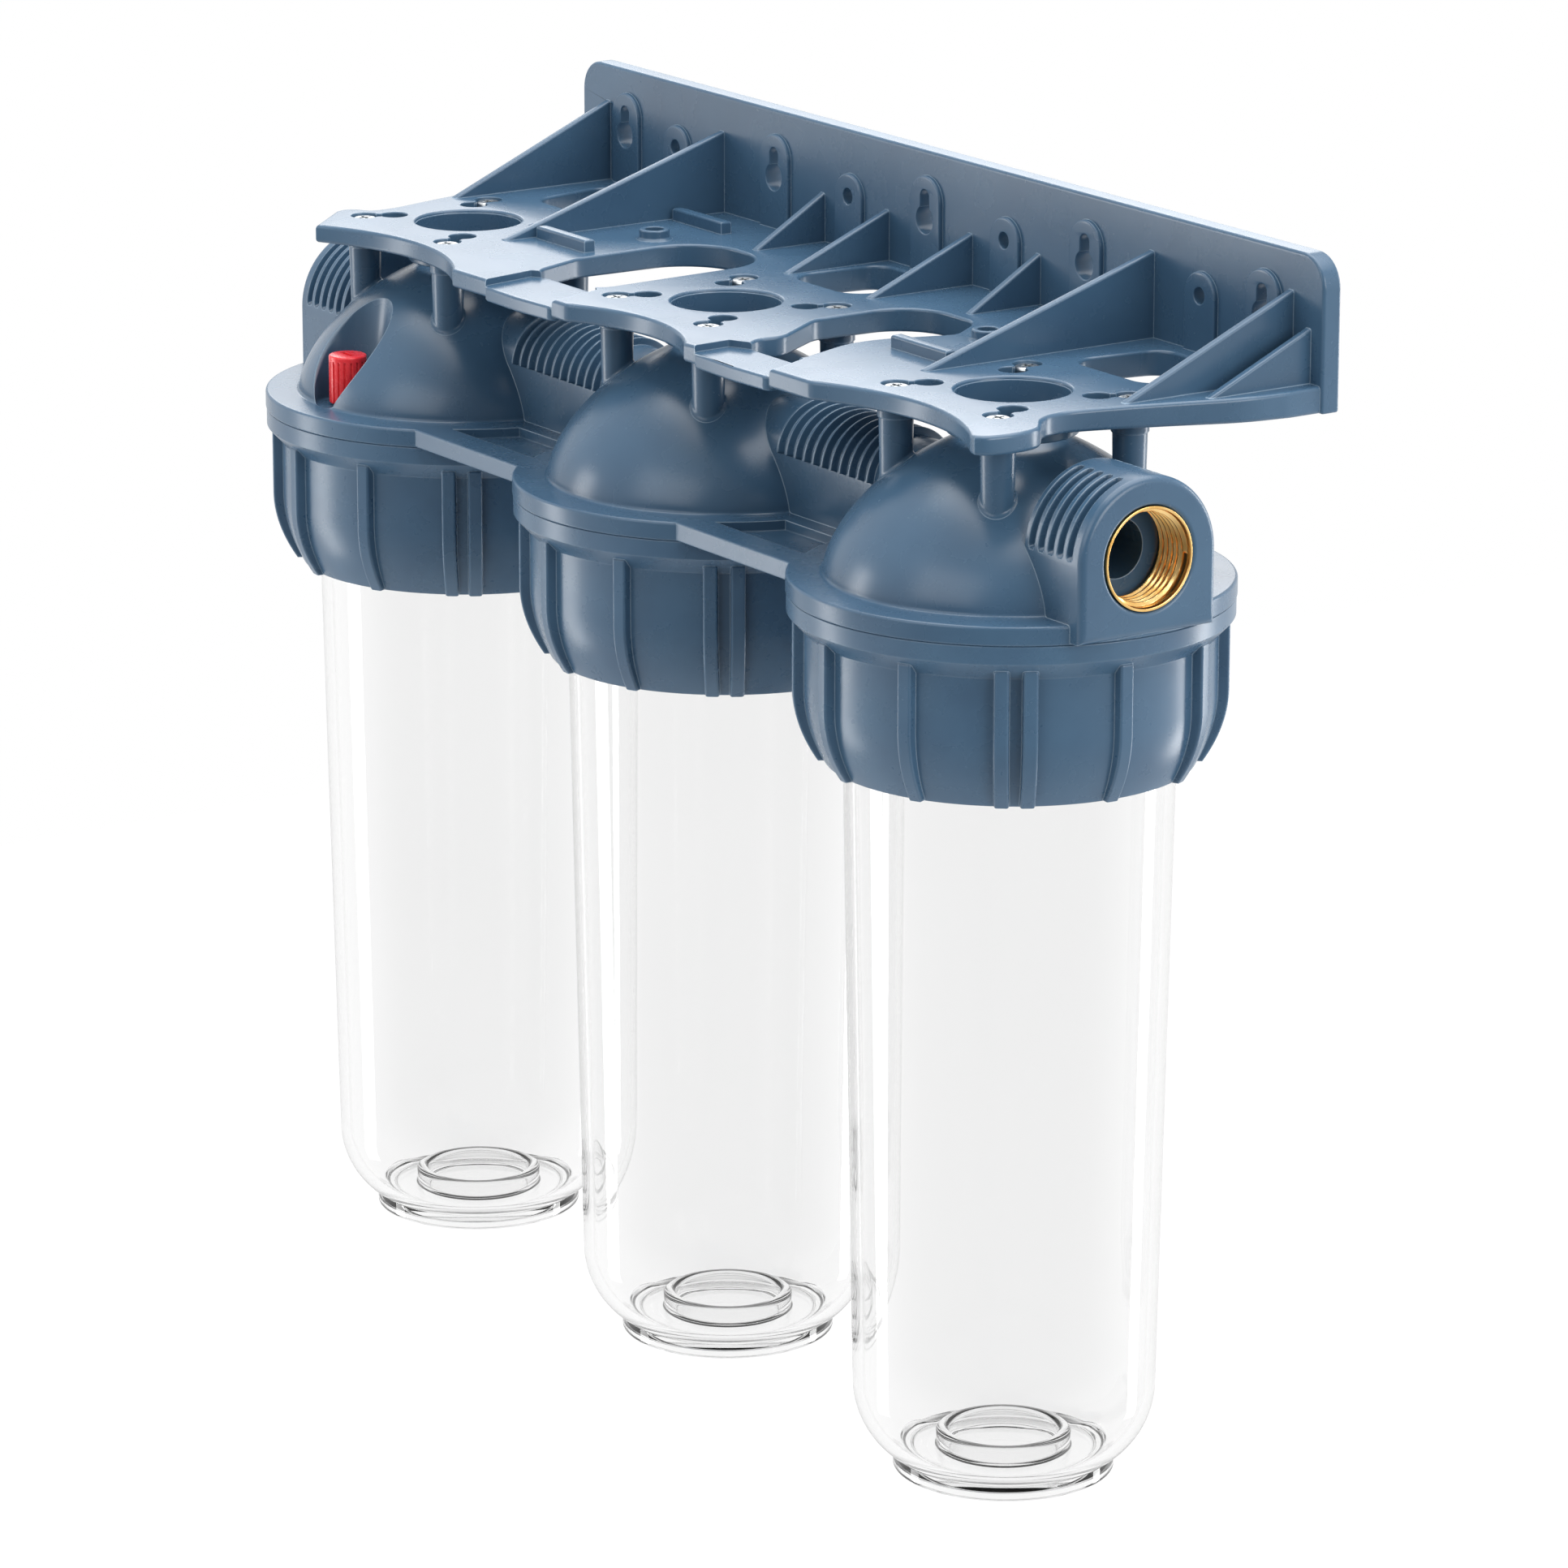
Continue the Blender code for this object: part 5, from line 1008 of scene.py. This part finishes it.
def makeInsert(side, name, node):
    # depth runs in from the face; the turns done are depth past the start over pitch, less the share of a
    # turn, and the crest lies half way through each, from the first on, so the thread starts with a step. A
    # tooth is the crest less the flank's slope times the way from there, kept from 0 to 1, and it fades
    # before the sleeve's end.
    n = insert
    angle = np.arange(n["columns"]) * tau / n["columns"]
    root, end = n["bore"] + n["depth"], n["length"] - n["tail"]
    depth = np.linspace(n["chamfer"], end, n["rows"])[:, None]
    turns = (depth - n["threadStart"]) / n["pitch"] - angle / tau
    tooth = np.clip(n["crest"] - np.abs(turns % 1 - 0.5) * n["flank"], 0, 1) * (turns > 0)
    fade = np.clip((end - depth) / n["runOut"], 0, 1)
    inside = np.minimum(n["bore"] + n["depth"] * (1 - tooth * fade), n["radius"] - n["wallLeft"])
    lip = rounded([(n["radius"], 0.3, 0), (n["radius"], 0.0, 0.2), (n["mouth"], 0.0, 0.2),
                   (root - 0.1, n["chamfer"], 0)], 4, closed=False)
    back = np.array([(root - 0.1, n["length"] - 0.4), (root, n["length"]), (n["radius"], n["length"])])
    lip, back = [np.broadcast_to(line.T[:, :, None], (2, len(line), n["columns"])) for line in (lip, back)]
    radius = np.vstack([lip[0], inside, back[0]])
    x = side * (head["portFace"] - np.vstack([lip[1], np.broadcast_to(depth, inside.shape), back[1]]))
    y = row["axisY"] + radius * np.cos(angle)
    z = row["passageZ"] + radius * np.sin(angle)
    sleeve = solid(name, [grid(np.stack([x, y, z], -1), loop=True)])
    finishPiece(sleeve, brass, "housing", [node])


makeInsert(-1, "inletInsert", "inlet_insert")
makeInsert(1, "outletInsert", "outlet_insert")


# Vent screw with a fluted knob, its seal, and the bracket screws

vent = {
    "radius": 5.5, "top": -34.8, "foot": -48.8, "edge": 0.6, "columns": 240,
    "flutes": 18, "fluteDepth": 0.5, "fluteDrop": 1.5, "fluteGain": 1.6, "fluteLess": 0.45, "fluteEase": 0.5,
    "stem": 2.3, "stemEnd": -57.5, "slotWidth": 1.3, "slotDepth": 1.3, "slotHalf": 2.7, "slotEdge": 0.1,
    "sealRing": 3.35, "sealCord": 0.65, "sealZ": -49.85,
}


def makeVent():
    # flutes: the radius dips by their depth times their cosine, which is widened, lowered and kept from 0
    # to 1; the dip is eased in below the knob's top edge
    v = vent
    angle = np.arange(v["columns"]) * tau / v["columns"]
    line = rounded([(0.0, v["top"], 0), (v["radius"], v["top"], v["edge"]), (v["radius"], v["foot"], 0.4),
                    (v["stem"], v["foot"], 0.2), (v["stem"], v["stemEnd"], 0.4), (0.0, v["stemEnd"], 0)], 6,
                   closed=False)
    # more points down the knob's side, which follow the flutes
    side = np.linspace(v["top"] - v["fluteDrop"], v["foot"] + 0.6, 30)
    below = int(np.argmax(line[:, 1] < v["top"] - v["edge"] - 1))
    line = np.vstack([line[:below], np.stack([np.full(len(side), v["radius"]), side], -1), line[below:]])
    dip = np.clip(np.cos(v["flutes"] * angle) * v["fluteGain"] - v["fluteLess"], 0, 1)
    onKnob = (line[:, 1] > v["foot"] - 0.01) & (line[:, 0] > v["stem"] + 1)
    ease = np.clip((v["top"] - v["fluteDrop"] - line[:, 1]) / v["fluteEase"], 0, 1) * onKnob
    radius = line[:, :1] - v["fluteDepth"] * ease[:, None] * dip
    knob = solid("ventScrew", [revolved(radius, line[:, 1:], ventPlace)])
    half, reach = v["slotWidth"] / 2, v["slotHalf"]
    slot = boxLoop((ventPlace[0] - reach, ventPlace[0] + reach), (ventPlace[1] - half, ventPlace[1] + half))
    slot = plate([(slot, v["slotEdge"])], v["top"] - v["slotDepth"], v["top"] + cutPast, 2)
    knob = combined(knob, [cut("slot", [slot])])
    finishPiece(knob, redPlastic, "vent_screw", ["vent_screw"])
    cord = arc((v["sealRing"], v["sealZ"]), v["sealCord"], steps=16)
    ring = solid("ventSeal", [turn(cord, 64, ventPlace, loop=True)])
    finishPiece(ring, rubber, "housing", ["vent_seal"])


screws = {
    "head": 3.6, "top": -0.6, "thick": 3.3, "shank": 1.9, "tip": -17.0, "tipRadius": 0.8, "tipLength": 2.0,
    "crossWidth": 0.9, "crossHalf": 1.9, "crossDepth": 1.0, "crossEdge": 0.05,
}


def makeScrews():
    # turned screws, each with a cross cut into its head
    s = screws
    under = s["top"] - s["thick"]
    line = rounded([(0, s["top"], 0), (s["head"], s["top"], 0.9), (s["head"], under, 0.15),
                    (s["shank"], under, 0.1), (s["shank"], s["tip"] + s["tipLength"], 0.3),
                    (s["tipRadius"], s["tip"], 0.3), (0, s["tip"], 0)], closed=False)
    places = roundHeads(bracket["slotOuter"])
    body = solid("bracketScrews", [turn(line, 48, place) for place in places])
    half, reach = s["crossWidth"] / 2, s["crossHalf"]
    arm = np.array([(half, half), (half, reach), (-half, reach)])
    arms = []
    for _ in range(4):
        arms.append(arm)
        # a quarter turn
        arm = np.stack([-arm[:, 1], arm[:, 0]], -1)
    crosses = [plate([(np.vstack(arms) + place, s["crossEdge"])], s["top"] - s["crossDepth"], s["top"] + 1, 1)
               for place in places]
    body = combined(body, [cut("crosses", crosses)])
    finishPiece(body, zinc, "housing", [f"bracket_screw_{i}" for i in range(1, 13)])


makeVent()
makeScrews()
print("vent and screws made")


# Stage: a white sweep under and behind, soft boxes, and the camera. The room and its lamps are in metres.

studio = {
    "floorZ": -1.1, "floorHalf": 3.0, "worldLight": 0.75,
    "cameraSide": (0.826, -0.563, 0.0), "frontShare": 0.22,
    "mirrored": (-0.95, -0.15), "throughClear": (-0.4, 0.6), "floorShare": 0.85, "floorGlow": 1.13,
    "fibre": 3.0,  # mm, coarser than real paper's
}
onHeads, onBowls = (0.0, -0.07, -0.08), (0.0, -0.07, -0.3)
# name, place, size, watts and the place that the soft box faces
softBoxes = (
    ("overhead", (0.0, 0.15, 1.35), (2.0, 1.6), 33, onHeads),
    ("back left", (-1.41, 0.81, 0.62), (0.9, 0.5), 4.5, onHeads),
    ("left strip", (-1.15, -1.13, -0.3), (0.4, 1.5), 10, onBowls),
    ("back strip", (0.45, 1.45, -0.3), (0.35, 1.5), 14, onBowls),
    ("front fill", (0.5, -2.0, 1.0), (1.6, 1.2), 12, onHeads),
    ("right fill", (2.2, 0.3, 0.6), (1.4, 1.2), 25, onHeads),
)
# angles in degrees, focal length and picture in pixels, place and film in mm, clipping in metres
camera = {
    "azimuth": 55.741, "elevation": 15.69, "roll": 0.046, "focus": 9197.427, "pixels": 1932,
    "shiftX": 15.923, "shiftY": -133.9, "distance": 2064.913, "film": 36.0, "clip": (0.05, 20.0),
}


def raysThat(tree, *kinds):
    # 1 for rays of any of these kinds
    path = addNode(tree, "ShaderNodeLightPath")
    seen = path.outputs[kinds[0]]
    for kind in kinds[1:]:
        either = addNode(tree, "ShaderNodeMath", {"operation": "MAXIMUM"}, {0: seen, 1: path.outputs[kind]})
        seen = either.outputs[0]
    return seen


def roomShare(tree):
    # a white room with a darker side where the camera stands: 1 for a ray that runs away from there, less
    # for one that runs back to it, and sooner so for rays that come through clear plastic
    back = addNode(tree, "ShaderNodeNewGeometry").outputs["Incoming"]
    facing = addNode(tree, "ShaderNodeVectorMath",
                     {"operation": "DOT_PRODUCT", 1: studio["cameraSide"]}, {0: back})
    shares = []
    for low, high in (studio["mirrored"], studio["throughClear"]):
        settings = {"interpolation_type": "SMOOTHSTEP", "From Min": low, "From Max": high,
                    "To Min": studio["frontShare"], "To Max": 1.0}
        shares.append(addNode(tree, "ShaderNodeMapRange", settings, {"Value": facing.outputs["Value"]}))
    mirrored, clear = [node.outputs["Result"] for node in shares]
    return addNode(tree, "ShaderNodeMapRange", {}, {"Value": raysThat(tree, "Is Transmission Ray"),
                                                    "To Min": mirrored, "To Max": clear}).outputs["Result"]


def makeStage():
    # the world lights all a little, is white for the camera, and is a room for mirrors and clear plastic
    s = studio
    world = bpy.data.worlds.new("white studio")
    world.use_nodes = True
    tree = world.node_tree
    tree.nodes.clear()
    level = addNode(tree, "ShaderNodeMapRange", {"To Min": s["worldLight"], "To Max": 1.0},
                    {"Value": raysThat(tree, "Is Glossy Ray", "Is Transmission Ray")}).outputs["Result"]
    room = addNode(tree, "ShaderNodeMath", {"operation": "MULTIPLY"}, {0: level, 1: roomShare(tree)})
    strength = addNode(tree, "ShaderNodeMapRange", {"To Max": 1.0},
                       {"Value": raysThat(tree, "Is Camera Ray"), "To Min": room.outputs[0]})
    background = addNode(tree, "ShaderNodeBackground", {"Color": srgb("#ffffff")},
                         {"Strength": strength.outputs["Result"]})
    addNode(tree, "ShaderNodeOutputWorld", {}, {"Surface": background.outputs["Background"]})
    bpy.context.scene.world = world

    # the paper keeps a faint shadow for the camera, whose rays find mostly its own white
    material, tree, place = newMaterial("paper sweep, white")
    fibre = addNode(tree, "ShaderNodeTexNoise", {"Scale": 1000 / s["fibre"]}, {"Vector": place})
    colour = addNode(tree, "ShaderNodeMix", {"data_type": "RGBA", 6: srgb("#f2f2f2"), 7: srgb("#f6f6f6")},
                     {0: fibre.outputs["Fac"]})
    paper = addNode(tree, "ShaderNodeBsdfDiffuse", {}, {"Color": colour.outputs[2]})
    toCamera = raysThat(tree, "Is Camera Ray")
    bright = addNode(tree, "ShaderNodeMapRange", {"To Max": s["floorGlow"]},
                     {"Value": toCamera, "To Min": roomShare(tree)})
    glow = addNode(tree, "ShaderNodeEmission", {"Color": srgb("#ffffff")},
                   {"Strength": bright.outputs["Result"]})
    kept = addNode(tree, "ShaderNodeMath", {"operation": "MULTIPLY", 1: s["floorShare"]}, {0: toCamera})
    share = addNode(tree, "ShaderNodeMath", {"operation": "MAXIMUM"},
                    {0: kept.outputs[0], 1: raysThat(tree, "Is Glossy Ray", "Is Transmission Ray")})
    mixed = addNode(tree, "ShaderNodeMixShader", {},
                    {0: share.outputs[0], 1: paper.outputs["BSDF"], 2: glow.outputs["Emission"]})
    addNode(tree, "ShaderNodeOutputMaterial", {}, {"Surface": mixed.outputs["Shader"]})
    mesh = bpy.data.meshes.new("floor")
    corners = boxLoop((-s["floorHalf"], s["floorHalf"]), (-s["floorHalf"], s["floorHalf"]))
    mesh.from_pydata([(x, y, s["floorZ"]) for x, y in corners], [], [(0, 1, 2, 3)])
    mesh.materials.append(material)
    floor = bpy.data.objects.new("floor", mesh)
    bpy.context.scene.collection.objects.link(floor)


def addSoftBox(name, place, size, watts, aim):
    # a flat lamp that faces its aim, and that neither the camera nor the clear bowls show
    lamp = bpy.data.lights.new(name, "AREA")
    lamp.shape, lamp.size, lamp.size_y, lamp.energy = "RECTANGLE", size[0], size[1], watts
    obj = bpy.data.objects.new(name, lamp)
    obj.location = place
    obj.rotation_euler = (Vector(aim) - Vector(place)).to_track_quat("-Z", "Y").to_euler()
    obj.visible_camera = obj.visible_transmission = False
    bpy.context.scene.collection.objects.link(obj)


def makeCamera():
    # the camera looks down its own back axis; right and up are turned about it by the roll
    c = camera
    azimuth, elevation, roll = np.radians([c["azimuth"], c["elevation"], c["roll"]])
    level = np.cos(elevation)
    back = np.array([np.sin(azimuth) * level, -np.cos(azimuth) * level, np.sin(elevation)])
    right = np.cross([0, 0, 1], back)
    right /= np.linalg.norm(right)
    up = np.cross(back, right)
    right, up = np.cos(roll) * right + np.sin(roll) * up, np.cos(roll) * up - np.sin(roll) * right
    place = (c["shiftX"] * right + c["shiftY"] * up + c["distance"] * back + [0, row["axisY"], 0]) / 1000
    data = bpy.data.cameras.new("camera")
    data.sensor_width = c["film"]
    data.lens = c["focus"] / c["pixels"] * c["film"]
    data.clip_start, data.clip_end = c["clip"]
    obj = bpy.data.objects.new("camera", data)
    matrix = Matrix([list(line) for line in np.column_stack([right, up, back])]).to_4x4()
    matrix.translation = Vector(place)
    obj.matrix_world = matrix
    bpy.context.scene.collection.objects.link(obj)
    bpy.context.scene.camera = obj


makeStage()
for softBox in softBoxes:
    addSoftBox(*softBox)
makeCamera()
bpy.context.scene.view_settings.view_transform = "Standard"
print("stage made")
